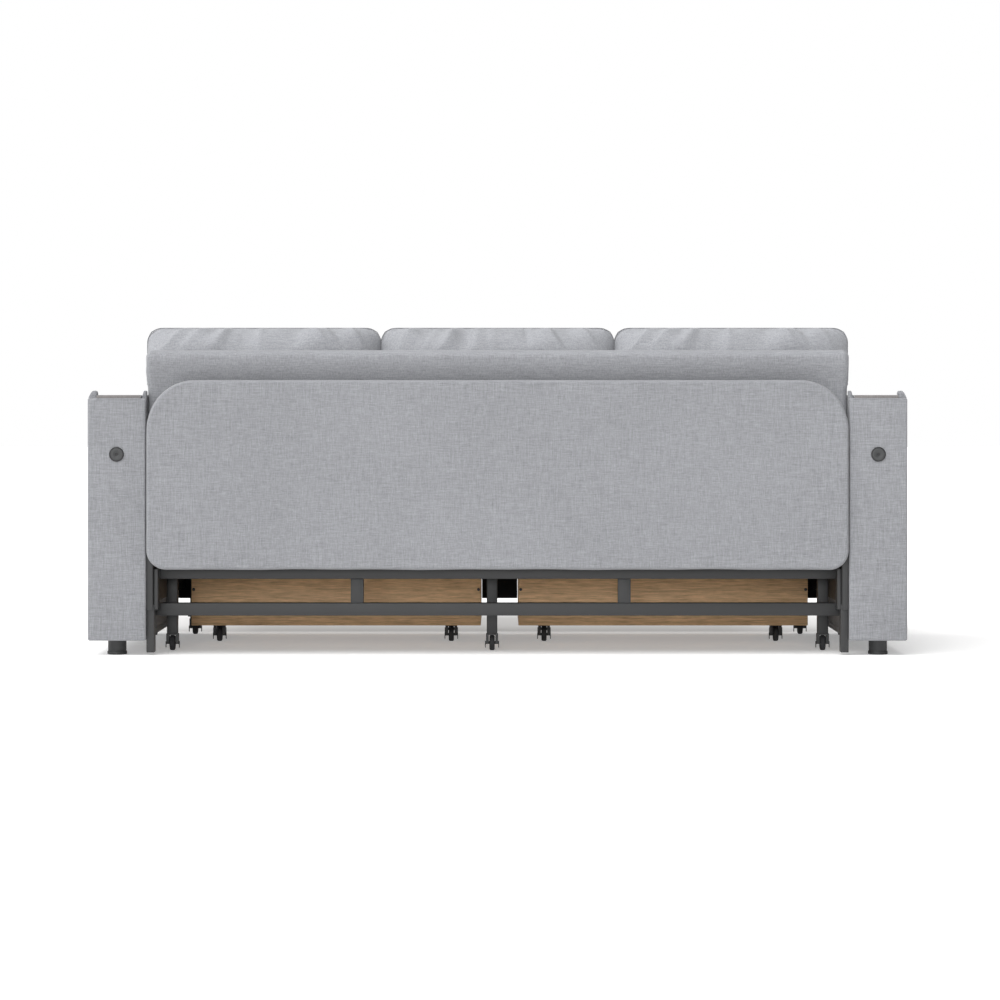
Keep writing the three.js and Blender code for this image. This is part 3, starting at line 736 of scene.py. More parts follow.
def make_cap(word):
    """The round cap on the arm's rear face: a dished disc, a rim and a small socket; the rim and the socket
    are near-black, which paints the shade on the rim's slope and in the socket.
    """
    node = f"arm_cap_{word}"
    low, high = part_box(node)
    radius, base, top = (high.x - low.x) / 2, low.y, high.y
    depth, edge, ring = top - base, 0.7 * MM, radius * 0.84
    disc = [
        (0, base), (ring, base), (ring, top - depth * 0.2), (ring - edge, top - depth * 0.12),
        (radius * 0.24, top - depth * 0.3), (radius * 0.22, top - depth * 0.4), (0, top - depth * 0.4),
    ]
    rim = [
        (ring, base), (radius, base), (radius, top - edge), (radius - edge * 0.3, top - edge * 0.3),
        (radius - edge, top), (ring + edge, top), (ring, top - edge),
    ]
    socket = [
        (0, top - depth * 0.42), (radius * 0.21, top - depth * 0.42), (radius * 0.2, top - depth * 0.3),
        (radius * 0.12, top - depth * 0.28), (radius * 0.1, top - depth * 0.38), (0, top - depth * 0.38),
    ]
    centre = Vector(((low.x + high.x) / 2, 0, (low.z + high.z) / 2))
    # The rim and the socket take the near-black finish, which paints their shade.
    for name, profile, finish_name in (
        ("cap", disc, "cap_plastic"),
        ("cap_rim", rim, "caster_black"),
        ("cap_socket", socket, "caster_black"),
    ):
        mesh = turned_mesh(name, profile, centre, sides=48, axis="y", is_ring=profile is rim)
        taken = [node] if profile is disc else []
        new_piece(f"{name}_{word}", mesh, finish_name, "base", taken)


def make_foot(node):
    """A moulded foot with a step above its wider pad."""
    low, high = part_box(node)
    radius, height = (high.x - low.x) / 2, high.z - low.z
    neck = radius * 0.92
    profile = [
        (0, 0), (radius * 0.96, 0), (radius, height * 0.03), (radius, height * 0.2),
        (radius * 0.97, height * 0.235), (neck, height * 0.25), (neck, height * 0.3),
        (neck * 1.015, height * 0.33), (neck * 1.015, height * 0.94),
        (neck * 1.04, height * 0.97), (neck * 1.04, height), (0, height),
    ]
    centre = Vector(((low.x + high.x) / 2, (low.y + high.y) / 2, 0))
    mesh = turned_mesh("foot", profile, centre, sides=48, axis="z")
    new_piece(f"{node}_moulded", mesh, "dark_plastic", "base", [node])


# Back


def widened(points, most, share, half_width):
    """Moves the ends of a panel outwards, by up to most and by share of it at each point."""
    across = points[:, :, 0]
    across += np.sign(across) * most * share * (np.abs(across) / half_width) ** 8


def make_rear_cover():
    """The padded panel with large round top corners and a slightly uneven hem."""
    low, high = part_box("rear_cover")
    roll, swell = 7 * MM, 2.2 * MM
    top_radius, bottom_radius = 123 * MM, 49 * MM
    radii = (top_radius, top_radius, bottom_radius, bottom_radius)
    limit = (high.z - low.z) / 2 - 10 * MM
    profile = rolled_profile(low.y, high.y, roll, flat_insets(limit, 16, roll), 6)
    form = PaddedForm(low, high, (0, 2, 1), radii, profile, corner_steps=16, side_steps=(90, 40))
    first, second = form.shares()
    points = form.points
    rear = points[:, :, 1] > (low.y + high.y) / 2
    points[:, :, 1] += np.where(rear, swell * (1 - first**4) * (1 - second**4) - swell, 0)
    unevenness = np.sin(points[:, :, 0] * 21 + 0.6) * np.sin(points[:, :, 0] * 8.3) * 1.1 * MM
    wide_below, narrow_above = 560 * MM, 640 * MM
    widened(points, 1.9 * MM, 1 - smooth_step(points[:, :, 2], wide_below, narrow_above), high.x)
    hem_height = 60 * MM
    near_hem = np.clip(1 - (points[:, :, 2] - low.z) / hem_height, 0, 1) ** 2
    points[:, :, 2] += unevenness * near_hem
    mesh = form.mesh("rear_cover")
    new_piece("rear_cover_padded", mesh, "linen", "base", ["rear_cover"], sharp=60)


def make_backrest():
    """The slab behind the cushions: a round top edge, and a rear face that slopes in below it."""
    low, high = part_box("backrest")
    roll, slope, corner = 19 * MM, 15 * MM, 14 * MM
    limit = (high.y - low.y) / 2 - 4 * MM
    profile = boxed_profile(low.z, high.z, roll, flat_insets(limit, 6, roll))
    form = PaddedForm(low, high, (0, 1, 2), (corner,) * 4, profile, corner_steps=6, side_steps=(70, 14))
    points = form.points
    arm_top, above_arm = 684 * MM, 706 * MM
    widened(points, 3.8 * MM, smooth_step(points[:, :, 2], arm_top, above_arm), high.x)
    rear = points[:, :, 1] > (low.y + high.y) / 2
    sunk = 1 - smooth_step(points[:, :, 2], high.z - 95 * MM, high.z - 15 * MM)
    points[:, :, 1] -= np.where(rear, sunk * slope, 0)
    mesh = form.mesh("backrest")
    # The backrest takes a lighter copy of the linen: painted light.
    new_piece("backrest_padded", mesh, "back_linen", "base", ["backrest"], sharp=60)


# Back cushions


class Cover:
    """Two cloth panels, sewn together along their edge, as a grid of corners for each."""

    def __init__(self, width, height, cell):
        self.columns = round(width / cell)
        self.rows = round(height / cell)
        grids = np.meshgrid(np.linspace(-1, 1, self.columns + 1), np.linspace(-1, 1, self.rows + 1))
        across, up = (grid.ravel() for grid in grids)
        self.corners = len(across)
        row, column = np.divmod(np.arange(self.corners), self.columns + 1)
        edge = (row == 0) | (row == self.rows) | (column == 0) | (column == self.columns)
        inner = np.flatnonzero(~edge)
        self.second = np.arange(self.corners)
        self.second[inner] = self.corners + np.arange(len(inner))
        self.panel_of = np.concatenate([np.where(edge, 0, 1), np.full(len(inner), -1)])
        self.u = np.concatenate([across, across[inner]])
        self.v = np.concatenate([up, up[inner]])
        narrowing, bulge = 0.05, 22 * MM
        x = self.u * width / 2 * np.sqrt(1 - narrowing * self.v**6)
        z = self.v * height / 2 * np.sqrt(1 - narrowing * self.u**6)
        y = self.panel_of * bulge * (1 - self.u**4) * (1 - self.v**4)
        self.flat = np.stack([x, y, z], axis=1)

    def grid(self, points, panel):
        """The points of a panel, as rows of columns."""
        return points[panel].reshape(self.rows + 1, self.columns + 1, 3)

    def faces(self):
        """Squares of the rear panel and of the front one, turned to face out."""
        made = []
        for row in range(self.rows):
            for column in range(self.columns):
                first = row * (self.columns + 1) + column
                square = [first, first + 1, first + self.columns + 2, first + self.columns + 1]
                made.append(tuple(reversed(square)))
                made.append(tuple(int(self.second[corner]) for corner in square))
        return made

    def seam(self):
        """The corners of the sewn edge, in order."""
        wide, tall = self.columns, self.rows
        bottom = list(range(wide))
        right = [row * (wide + 1) + wide for row in range(tall)]
        top = [tall * (wide + 1) + column for column in range(wide, 0, -1)]
        left = [row * (wide + 1) for row in range(tall, 0, -1)]
        return bottom + right + top + left

    def mesh(self, name, points):
        mesh = bpy.data.meshes.new(name)
        mesh.from_pydata([tuple(point) for point in points], [], self.faces())
        return mesh


def blown_up(cover, pressure, frames):
    """The cover's corners after Blender's cloth has been inflated without gravity."""
    scene = bpy.context.scene
    host = add_object("cloth_host", cover.mesh("cloth_host", cover.flat))
    modifier = host.modifiers.new("cloth", "CLOTH")
    cloth = {
        "quality": 5, "mass": 0.3, "tension_stiffness": 20, "compression_stiffness": 20,
        "shear_stiffness": 8, "bending_stiffness": 0.12,
        "use_pressure": True, "uniform_pressure_force": pressure,
    }
    for key, value in cloth.items():
        setattr(modifier.settings, key, value)
    modifier.settings.effector_weights.gravity = 0
    modifier.collision_settings.use_collision = False
    for frame_number in range(1, frames + 1):
        scene.frame_set(frame_number)
    settled = host.evaluated_get(bpy.context.evaluated_depsgraph_get()).data
    points = np.zeros(len(settled.vertices) * 3)
    settled.vertices.foreach_get("co", points)
    scene.frame_set(1)
    bpy.data.objects.remove(host)
    return points.reshape(-1, 3)


def relaxed(cover, points, passes):
    """Points with their small folds eased; the sewn edge stays."""
    made = points.copy()
    for panel in (np.arange(cover.corners), cover.second):
        grid = cover.grid(points, panel)
        for _ in range(passes):
            near = (grid[:-2, 1:-1] + grid[2:, 1:-1] + grid[1:-1, :-2] + grid[1:-1, 2:]) / 4
            grid[1:-1, 1:-1] = (grid[1:-1, 1:-1] + near) / 2
        made[panel] = grid.reshape(-1, 3)
    return made


def squared(cover, points, wide, deep, tall, corner):
    """Points stretched so that the sewn edge follows a rectangle with round corners."""
    made = points - points.mean(axis=0)
    grid = cover.grid(made, np.arange(cover.corners))
    half_wide, half_tall = wide / 2, tall / 2
    for axis, share, other, half, other_half, ends in (
        (0, cover.u, cover.v, half_wide, half_tall, (grid[:, 0, 0], grid[:, -1, 0])),
        (2, cover.v, cover.u, half_tall, half_wide, (grid[0, :, 2], grid[-1, :, 2])),
    ):
        places = np.linspace(-1, 1, len(ends[0]))
        at_low, at_high = (np.interp(other, places, np.abs(end)) for end in ends)
        arc = corner * math.pi / 4 / other_half
        turn = np.clip((np.abs(other) - (1 - arc)) / arc, 0, 1) * math.pi / 4
        outline = half - corner * (1 - np.cos(turn))
        made[:, axis] *= outline / np.where(share < 0, at_low, at_high)
    made[:, 1] *= deep / 2 / np.abs(made[:, 1]).max()
    return made


def gathers(cover, wide, tall, seed):
    """How far each corner of the cover stands out: uneven gathers that fade away from the seam."""
    across, up = np.abs(cover.u), np.abs(cover.v)
    from_seam = np.minimum((1 - across) * wide, (1 - up) * tall) / 2
    along = np.where(across > up, cover.v * tall, cover.u * wide) / 2
    narrow, broad = 17 * MM, 37 * MM
    narrow_wave = np.sin(along * 2 * math.pi / narrow + seed)
    broad_wave = np.sin(along * 2 * math.pi / broad + seed * 1.7)
    waves = 0.6 * narrow_wave + 0.5 * broad_wave
    near_corner = (across * up) ** 4
    reach, hem = 24 * MM, 5 * MM
    fade = np.exp(-from_seam / reach) * np.clip(from_seam / hem, 0, 1)
    return waves * (0.2 + 0.8 * near_corner) * fade * sizes().pucker


def held_below(values, limit, softness):
    """Values that level off at a limit, as a cushion does against a wall."""
    over = values - (limit - softness)
    return np.where(over > 0, limit - softness * np.exp(-np.maximum(over, 0) / softness), values)


def settled_cushion(index, low, high):
    """A cushion's cover, and its corners once it lies between its neighbours, the back and the arms."""
    wide, deep, tall = (high[axis] - low[axis] for axis in range(3))
    spare, cell = 40 * MM, 8 * MM
    cover = Cover(wide + spare, tall + spare, cell)
    pressure, frames, easing_passes = 5.0, 22, 14
    loose = relaxed(cover, blown_up(cover, pressure, frames), easing_passes)
    outward = 1 - index
    arm_side, over_arm = 904 * MM, 18 * MM
    between = (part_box("back_cushion_left")[0].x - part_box("back_cushion_middle")[1].x) / 2 - 0.1 * MM
    right_end = arm_side + over_arm if outward > 0 else high.x + between
    left_end = -arm_side - over_arm if outward < 0 else low.x - between
    crush, swell, sunk = 4 * MM, 30 * MM, 16 * MM
    span = right_end - left_end + crush
    points = squared(cover, loose, span, deep + swell, tall + sunk, sizes().cushion_corner)
    points += np.array(((right_end + left_end) / 2, (low.y + high.y) / 2, (low.z + high.z - sunk) / 2))
    gather = gathers(cover, wide, tall, index * 2.1 + 0.4)
    near_edge = np.maximum(np.abs(cover.u), np.abs(cover.v)) > 0.5
    points[:, 1] += gather * cover.panel_of
    points[:, 2] += gather * np.sign(cover.v) * near_edge
    arm_top, above_arm = 676 * MM, 700 * MM
    beside_arm = arm_side + smooth_step(points[:, 2], arm_top, above_arm) * over_arm
    for axis, way, limit, softness in (
        (0, 1, beside_arm if outward > 0 else right_end, 1.5 * MM),
        (0, -1, beside_arm if outward < 0 else -left_end, 1.5 * MM),
        (1, 1, high.y - 0.4 * MM, 7 * MM),
        (1, -1, -(low.y - 1 * MM), 7 * MM),
        (2, -1, -(low.z + 0.5 * MM), 9 * MM),
        (2, 1, high.z - 1 * MM, 4 * MM),
    ):
        points[:, axis] = way * held_below(way * points[:, axis], limit, softness)
    return cover, points


def make_back_cushion(index, word):
    """A knife-edged cushion: inflated cloth, gathered along its seam, with a welt round it."""
    node = f"back_cushion_{word}"
    cover, points = settled_cushion(index, *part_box(node))
    soft = add_object(f"{node}_soft", cover.mesh(node, points))
    soft.modifiers.new("round", "SUBSURF").levels = 1
    mesh = plain_mesh(soft, node)
    # The cushion takes the lighter copy of the linen, which paints the top light on it.
    cushion = new_piece(f"{node}_padded", mesh, "cushion_linen", "base", [node], sharp=80)
    path = [tuple(points[corner]) for corner in cover.seam()]
    # The seam cord takes a darker copy of the linen: painted shade along the seam.
    make_welt(f"{node}_welt", path, "seam_linen", "base", radius=1.3 * MM)


# Seat and bed


def make_mattress(node, body):
    """A boxed foam layer with a crowned top and a welt round its top and bottom edges."""
    low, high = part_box(node)
    roll, crown, hollow, corner = 12 * MM, 6 * MM, 3 * MM, 34 * MM
    limit = (high.y - low.y) / 2 - 20 * MM
    profile = boxed_profile(low.z, high.z - crown, roll, flat_insets(limit, 12, roll))
    form = PaddedForm(low, high, (0, 1, 2), (corner,) * 4, profile, corner_steps=10, side_steps=(90, 40))
    first, second = form.shares()
    points = form.points
    upper = points[:, :, 2] > (low.z + high.z) / 2 + 30 * MM
    points[:, :, 2] += np.where(upper, crown * (1 - np.abs(first) ** 3) * (1 - np.abs(second) ** 3), 0)
    rise = np.clip((points[:, :, 2] - low.z) / (high.z - low.z), 0, 1)
    at_rear = second > 0.97
    points[:, :, 1] -= hollow * np.sin(rise * math.pi) * at_rear
    mesh = form.mesh(node)
    # The mattress takes the same lighter copy of the linen: painted light.
    layer = new_piece(f"{node}_padded", mesh, "cushion_linen", body, [node], sharp=60)
    for place, height in (("top", high.z - crown - roll * 0.35), ("bottom", low.z + roll * 0.35)):
        row = int(np.argmin(np.abs(points[:, 0, 2] - height) + form.insets))
        path = [tuple(point) for point in points[row]]
        make_welt(f"{node}_welt_{place}", path, "cushion_linen", body, radius=2 * MM)


def make_deck(node, body, offset, slats, beam_front, beam_rear):
    """One comb of the deck: its beam across the width and its slats running forward."""
    low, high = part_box(node)
    gap = sizes().slat_gap
    pitch = (high.x - low.x + gap) / (sizes().fixed_slats * 2 + 1)
    width = pitch - gap
    beam = (low.x, beam_front, low.z), (high.x, beam_rear, high.z)
    mesh = block_mesh(f"{node}_beam", [beam], sizes().wood_edge * 2)
    new_piece(f"{node}_beam", mesh, "slat_wide", body, [node])
    at_rear = beam_rear > high.y - 1 * MM
    start, end = (beam_front, low.y) if at_rear else (high.y, beam_rear)
    lefts = [low.x + (offset + 2 * step) * pitch for step in range(slats)]
    points = [(left + width / 2, start, (low.z + high.z) / 2) for left in lefts]
    values = {"Width": width, "Thickness": high.z - low.z, "Length": start - end, "Rounding": 3 * MM}
    mesh = grown(f"{node}_slats", tree_for("slat", "slat_deep"), points_mesh(points), values)
    new_piece(f"{node}_slats", mesh, "slat_deep", body)


def make_decks():
    """The two combs, whose slats lie between each other's."""
    slats = sizes().fixed_slats
    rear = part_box("fixed_deck")[1].y
    make_deck("fixed_deck", "base", 1, slats, rear - 50 * MM, rear)
    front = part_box("carriage_deck")[0].y
    make_deck("carriage_deck", "carriage", 0, slats + 1, front, front + 65.7 * MM)


# Steel frame


def make_base_frame():
    """The steel between the arms, with eased tube corners."""
    edge = sizes().steel_edge
    for node in ("side_frame_left", "side_frame_right", "rear_rail_upper", "rear_rail_lower"):
        eased_node(node, "steel", "base", edge)
    for node in ("rear_strut_left", "rear_strut_right"):
        eased_node(node, "steel", "base", edge / 3)


def make_carriage_frame():
    """The rails that roll forward, with eased tube corners."""
    for place in ("left", "right", "rear", "front"):
        eased_node(f"carriage_rail_{place}", "steel", "carriage", sizes().steel_edge)


def make_apron():
    """The wrapped apron and the thin black lining behind it, with bays for the drawers' fronts."""
    eased_node("apron", "linen", "carriage", 2.5 * MM)
    low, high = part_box("apron")
    hem, thin = 0.8 * MM, 1.2 * MM
    left, right = (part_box(f"drawer_front_{word}") for _, word in SIDES)
    band = left[1].z + 3 * MM + hem
    outer, inner = 2 * MM + hem, 1 * MM + hem
    ends = (low.x - hem * 2, high.x + hem * 2)
    blocks = [((ends[0], high.y, band), (ends[1], high.y + thin, high.z - hem))]
    for start, end in (
        (ends[0], right[0].x - outer),
        (right[1].x + inner, left[0].x - inner),
        (left[1].x + outer, ends[1]),
    ):
        blocks.append(((start, high.y, low.z + hem), (end, high.y + thin, band)))
    new_piece("apron_lining", block_mesh("lining", blocks), "lining", "carriage")


# Casters


def make_bracket(name, centre, reach, bottom, top, finish_name, body):
    """An inverted U over a wheel."""
    room, roof, half_depth = 8.6 * MM, top - 4 * MM, 12 * MM
    outline = [
        (-reach, bottom), (-reach, top), (reach, top), (reach, bottom),
        (room, bottom), (room, roof), (-room, roof), (-room, bottom),
    ]
    shape = bmesh.new()
    ends = [
        [shape.verts.new((centre.x + across, centre.y + depth, height)) for across, height in outline]
        for depth in (-half_depth, half_depth)
    ]
    for end in ends:
        shape.faces.new(end)
    join_rings(shape, *ends)
    eased(shape, 1.1 * MM, 2)
    new_piece(f"{name}_bracket", mesh_from(shape, name), finish_name, body)


def make_fork(name, centre, top, finish_name, body):
    """An open caster bracket, a bolt through it, and a thread guard at each end of the bolt."""
    radius, reach = centre.z, 16 * MM
    make_bracket(name, centre, reach, radius - 3 * MM, top, finish_name, body)
    root, tip = reach + 0.5 * MM, reach + 2.6 * MM
    guards = []
    for start, end in ((-tip, -root), (root, tip)):
        bottom = (centre.x + start, centre.y - 3 * MM, radius - 13 * MM)
        guards.append((bottom, (centre.x + end, centre.y + 3 * MM, radius + 4 * MM)))
    new_piece(f"{name}_guard", block_mesh(name, guards, 0.8 * MM), "caster_black", body)
    head, bolt = 4.6 * MM, 3.9 * MM
    profile = [
        (0, -tip), (head * 0.7, -tip), (head, 1 * MM - tip), (head, -reach), (bolt, -reach),
        (bolt, reach), (head, reach), (head, tip - 1 * MM), (head * 0.7, tip), (0, tip),
    ]
    mesh = turned_mesh(name, profile, centre, sides=20)
    new_piece(f"{name}_axle", mesh, "caster_black", body)


def make_wheel(node, body):
    """A wheel with a rounded tread, a recessed disc and a hub."""
    low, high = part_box(node)
    radius, half = (high.z - low.z) / 2, (high.x - low.x) / 2
    bore = 4.35 * MM
    outward = [
        (bore, half), (radius * 0.34, half), (radius * 0.38, half * 0.72),
        (radius * 0.66, half * 0.62), (radius * 0.72, half * 0.92), (radius * 0.84, half),
        (radius * 0.94, half * 0.86), (radius, half * 0.45),
    ]
    profile = [(out, -along) for out, along in outward] + outward[::-1]
    mesh = turned_mesh(node, profile, middle_of(node), sides=32, is_ring=True)
    new_piece(f"{node}_turned", mesh, "rubber", body, [node], sharp=50)


def make_carriage_casters():
    """Legs, forks and wheels of the carriage."""
    fork_top = 44.5 * MM
    for place in ("rear_left", "rear_centre", "rear_right", "front_left", "front_right"):
        wheel, leg = f"carriage_wheel_{place}", f"carriage_leg_{place}"
        centre = middle_of(wheel)
        low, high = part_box(leg)
        half = (high.y - low.y) / 2
        tube = (centre.x - half, centre.y - half, fork_top), (centre.x + half, centre.y + half, high.z)
        mesh = block_mesh(place, [tube], sizes().steel_edge, 3)
        new_piece(f"{leg}_tube", mesh, "steel", "carriage", [leg])
        make_fork(f"carriage_fork_{place}", centre, fork_top, "steel", "carriage")
        make_wheel(wheel, f"carriage_roller_{place}")


# Drawers


def make_board(name, low, high, finish_name, body, replaced=()):
    mesh = block_mesh(name, [(low, high)], sizes().wood_edge)
    new_piece(name, mesh, finish_name, body, replaced)


def rim_span(node, height):
    """The span in x of a CAD node's corners at a height."""
    corners = [vert.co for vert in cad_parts[node].data.vertices]
    level = [corner.x for corner in corners if abs(corner.z - height) < 0.5 * MM]
    return min(level), max(level)


def make_drawer(side, word):
    """An oak drawer: rear panel over the sides, a let-in floor, its front, runners and casters."""
    body, box = f"drawer_{word}", f"drawer_box_{word}"
    low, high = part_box(box)
    guide_end = high.x if side > 0 else low.x
    low.x, high.x = rim_span(box, high.z)
    guide_root = high.x if side > 0 else low.x
    wall, floor, hair = 15 * MM, 9 * MM, 0.2 * MM
    front, rear = low.y + wall + hair, high.y - wall - hair
    left, right = low.x + wall + hair, high.x - wall - hair
    for name, start, end, finish_name in (
        ("rear", (low.x, high.y - wall, low.z), high, "oak_wide"),
        ("inner_front", low, (high.x, low.y + wall, high.z), "oak_wide"),
        ("side_a", (low.x, front, low.z), (low.x + wall, rear, high.z), "oak_deep"),
        ("side_b", (high.x - wall, front, low.z), (high.x, rear, high.z), "oak_deep"),
        ("floor", (left, front, low.z), (right, rear, low.z + floor), "oak_wide"),
    ):
        taken = [box] if name == "rear" else []
        make_board(f"drawer_{name}_{word}", start, end, finish_name, body, taken)
    guide_bottom, guide_top = 72 * MM, 97 * MM
    start = (min(guide_root, guide_end), low.y, guide_bottom)
    end = (max(guide_root, guide_end), high.y - 20 * MM, guide_top)
    make_board(f"drawer_guide_{word}", start, end, "dark_plastic", body)
    # The front takes the darker copy of the oak: painted shade.
    eased_node(f"drawer_front_{word}", "oak_front_painted_shade", body, sizes().wood_edge)
    from_end, screw_height = 6 * MM, 147 * MM
    heads = [(x, high.y, screw_height) for x in (low.x + from_end, high.x - from_end)]
    facing_back = (math.pi / 2, 0, 0)
    make_screws(f"drawer_screws_{word}", heads, facing_back, "dark_plastic", body)
    for place in ("inner", "outer"):
        make_runner(word, place, body)


def make_runner(word, place, body):
    """A runner strip under the drawer with a caster at each end."""
    node = f"drawer_runner_{place}_{word}"
    low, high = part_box(node)
    inset, bottom = 4 * MM, high.z - 3 * MM
    strip = (low.x + inset, low.y, bottom), (high.x - inset, high.y, high.z)
    mesh = block_mesh(node, [strip], 0.8 * MM)
    new_piece(f"{node}_strip", mesh, "dark_plastic", body, [node])
    for end in ("rear", "front"):
        wheel = f"drawer_wheel_{place}_{end}_{word}"
        make_fork(f"drawer_fork_{place}_{end}_{word}", middle_of(wheel), bottom, "caster_black", body)
        make_wheel(wheel, f"drawer_{word}_roller_{place}_{end}")


# Studio


def add_sun(name, strength, spread, azimuth, elevation):
    """A distant light. Azimuth turns from straight behind the sofa towards +X."""
    light = bpy.data.lights.new(name, "SUN")
    light.energy = strength
    light.angle = math.radians(spread)
    turn, rise = math.radians(azimuth), math.radians(elevation)
    source = Vector((math.sin(turn) * math.cos(rise), math.cos(turn) * math.cos(rise), math.sin(rise)))
    add_object(name, light).rotation_euler = (-source).to_track_quat("-Z", "Y").to_euler()


def seen_white(recipe, shader, strength):
    """Adds white for the camera, glossy and transmission rays only."""
    rays = recipe.add("ShaderNodeLightPath")
    camera, glossy, through = (
        Value(recipe, rays.outputs[f"Is {kind} Ray"]) for kind in ("Camera", "Glossy", "Transmission")
    )
    seen = (camera + glossy + through).limited()
    glow = recipe.add("ShaderNodeEmission", {}, {"Color": WHITE, "Strength": seen * strength})
    return recipe.add("ShaderNodeAddShader", {}, {0: shader.outputs[0], 1: glow.outputs[0]})


def make_floor(glow):
    """A white floor with painted shade: softly greyed in front of the sofa, as if the sofa shaded it there.
    """
    recipe = Recipe("pale_floor")
    mottle = recipe.noise((6, 6, 6), 3.0)
    pale = recipe.blend(mottle, (0.89, 0.885, 0.88, 1), (0.91, 0.905, 0.9, 1))
    across, depth = recipe.axis(0), recipe.axis(1)
    # The painted shade reaches from the sofa's front to 2.05 m before its middle, and 1.3 m to each side.
    beside = ((1.7 - across * across) * 0.8).limited()
    behind = ((-0.43 - depth) * 7).limited()
    before = ((depth + 2.05) * 1.1).limited()
    shade = beside * behind * before
    # The grey of the painted shade, which also dims the white added for the camera.
    painted_shade_grey = (0.42, 0.41, 0.402, 1)
    diffuse = recipe.add("ShaderNodeBsdfDiffuse", {}, {"Color": recipe.blend(shade, pale, painted_shade_grey)})
    material = recipe.ended(seen_white(recipe, diffuse, (1 - shade * 0.7) * glow))
    shape = bmesh.new()
    bmesh.ops.create_grid(shape, x_segments=1, y_segments=1, size=60)
    mesh = bpy.data.meshes.new("floor")
    shape.to_mesh(mesh)
    shape.free()
    mesh.materials.append(material)
    add_object("floor", mesh)


def make_sky(strength):
    """An even light, which the camera sees as white."""
    world = bpy.data.worlds.new("sky")
    bpy.context.scene.world = world
    world.use_nodes = True
    sky = Nodes(world.node_tree)
    even = sky.add("ShaderNodeBackground", {}, {"Color": WHITE, "Strength": strength})
    white = sky.add("ShaderNodeBackground", {}, {"Color": WHITE, "Strength": 1.0})
    seen = sky.add("ShaderNodeLightPath").outputs["Is Camera Ray"]
    mix = sky.add("ShaderNodeMixShader", {}, {0: seen, 1: even.outputs[0], 2: white.outputs[0]})
    sky.add("ShaderNodeOutputWorld", {}, {0: mix.outputs[0]})


def make_stage():
    """The floor, the sky, soft lamps from behind, low, beside and above, and the camera."""
    scene = bpy.context.scene
    studio = scene.sofa_studio
    scene.view_settings.view_transform = "Standard"
    make_floor(studio.floor_glow)
    make_sky(studio.sky)
    for name, spread, azimuth, elevation in (
        ("key", 34, 25, 33),
        ("fill", 14, 4, 8),
        ("rim", 56, 80, 38),
        ("top", 40, 20, 72),
    ):
        add_sun(name, getattr(studio, name), spread, azimuth, elevation)
    data = bpy.data.cameras.new("camera")
    rear_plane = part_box("arm_box_left")[1].y
    camera = add_object("camera", data)
    camera.location = (studio.sideways, rear_plane + studio.camera_distance, studio.camera_height)
    camera.rotation_euler = (math.pi / 2, 0, math.pi)
    data.lens = data.sensor_width * studio.camera_distance / studio.frame_width
    data.shift_y = -studio.horizon_drop
    scene.camera = camera


# Operators, the panel and the run


class SOFA_OT_stage(bpy.types.Operator):
    """Make the floor, the light and the camera"""

    bl_idname = "sofa.stage"
    bl_label = "Studio"

    def execute(self, context):
        make_stage()
        return {"FINISHED"}


class SOFA_OT_arms(bpy.types.Operator):
    """Make both arms with their lids, caps and feet"""

    bl_idname = "sofa.arms"
    bl_label = "Arms"

    def execute(self, context):
        for side, word in SIDES:
            make_arm(side, word)
            make_cap(word)
            for place in ("rear", "front"):
                make_foot(f"foot_{place}_{word}")
        return {"FINISHED"}


class SOFA_OT_back(bpy.types.Operator):
    """Make the rear cover and the backrest"""

    bl_idname = "sofa.back"
    bl_label = "Back"

    def execute(self, context):
        make_rear_cover()
        make_backrest()
        return {"FINISHED"}


class SOFA_OT_cushions(bpy.types.Operator):
    """Make the three back cushions"""

    bl_idname = "sofa.cushions"
    bl_label = "Back cushions"

    def execute(self, context):
        for index, word in enumerate(("left", "middle", "right")):
            make_back_cushion(index, word)
        return {"FINISHED"}


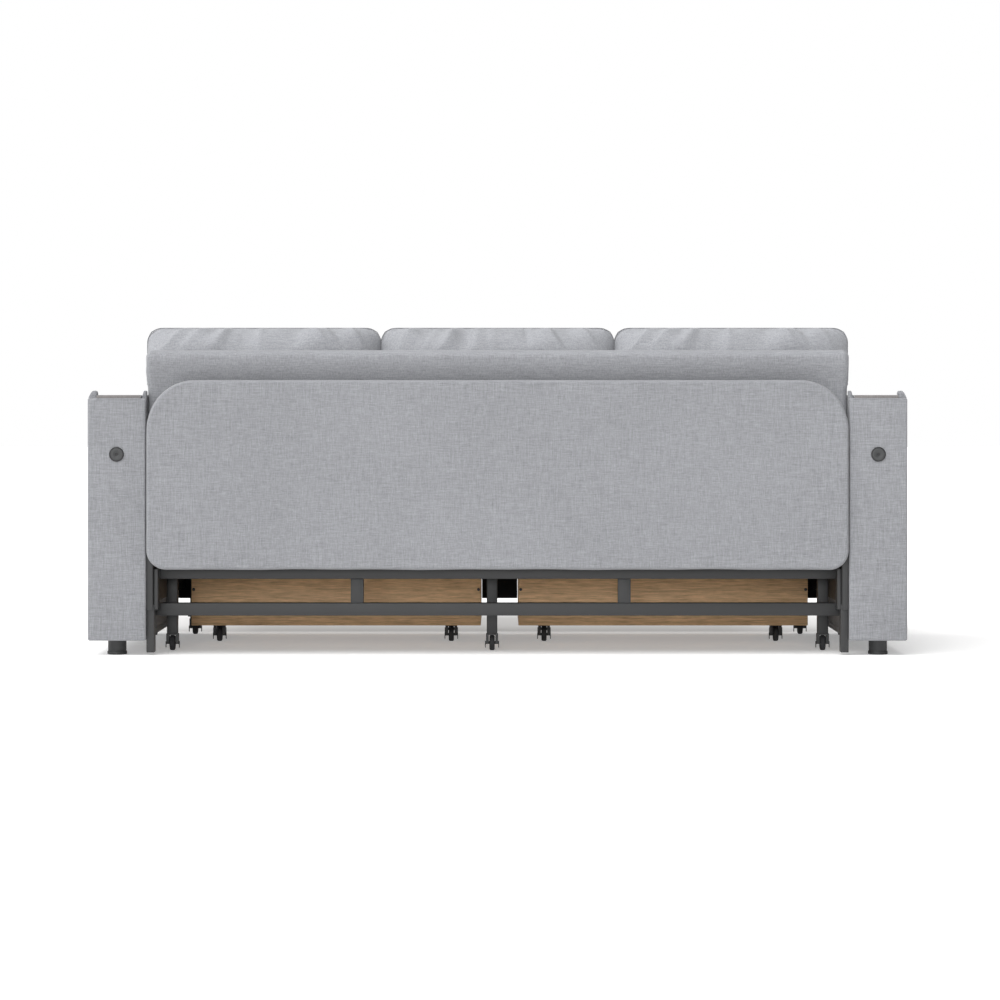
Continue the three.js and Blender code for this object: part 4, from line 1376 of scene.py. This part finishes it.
class SOFA_OT_bed(bpy.types.Operator):
    """Make the mattress layers and the slatted decks"""

    bl_idname = "sofa.bed"
    bl_label = "Mattress and slats"

    def execute(self, context):
        make_mattress("mattress_lower", "base")
        make_mattress("mattress_upper", "mattress_fold")
        make_decks()
        return {"FINISHED"}


class SOFA_OT_frame(bpy.types.Operator):
    """Make the steel frame, the carriage, its apron and its casters"""

    bl_idname = "sofa.frame"
    bl_label = "Frame and carriage"

    def execute(self, context):
        make_base_frame()
        make_carriage_frame()
        make_apron()
        make_carriage_casters()
        return {"FINISHED"}


class SOFA_OT_drawers(bpy.types.Operator):
    """Make both drawers with their casters"""

    bl_idname = "sofa.drawers"
    bl_label = "Drawers"

    def execute(self, context):
        for side, word in SIDES:
            make_drawer(side, word)
        return {"FINISHED"}


OPERATORS = (
    SOFA_OT_stage,
    SOFA_OT_arms,
    SOFA_OT_back,
    SOFA_OT_cushions,
    SOFA_OT_bed,
    SOFA_OT_frame,
    SOFA_OT_drawers,
)
GROUPS = {"sofa_sizes": SofaSizes, "sofa_colours": SofaColours, "sofa_studio": StudioSettings}


class SOFA_PT_panel(bpy.types.Panel):
    """Lists the steps that build the sofa, and its settings"""

    bl_idname = "SOFA_PT_panel"
    bl_label = "Sleeper Sofa"
    bl_space_type = "VIEW_3D"
    bl_region_type = "UI"
    bl_category = "Sofa"

    def draw(self, context):
        for operator in OPERATORS:
            self.layout.operator(operator.bl_idname)
        for key, group in GROUPS.items():
            for name in group.__annotations__:
                self.layout.prop(getattr(context.scene, key), name)


CLASSES = (*GROUPS.values(), *OPERATORS, SOFA_PT_panel)


def register():
    for cls in CLASSES:
        bpy.utils.register_class(cls)
    for name, group in GROUPS.items():
        setattr(bpy.types.Scene, name, bpy.props.PointerProperty(type=group))


def unregister():
    for name in GROUPS:
        delattr(bpy.types.Scene, name)
    for cls in reversed(CLASSES):
        bpy.utils.unregister_class(cls)


def main():
    register()
    bpy.ops.sofa.stage()
    bpy.ops.sofa.arms()
    bpy.ops.sofa.back()
    bpy.ops.sofa.cushions()
    bpy.ops.sofa.bed()
    bpy.ops.sofa.frame()
    bpy.ops.sofa.drawers()


if __name__ == "__main__":
    main()
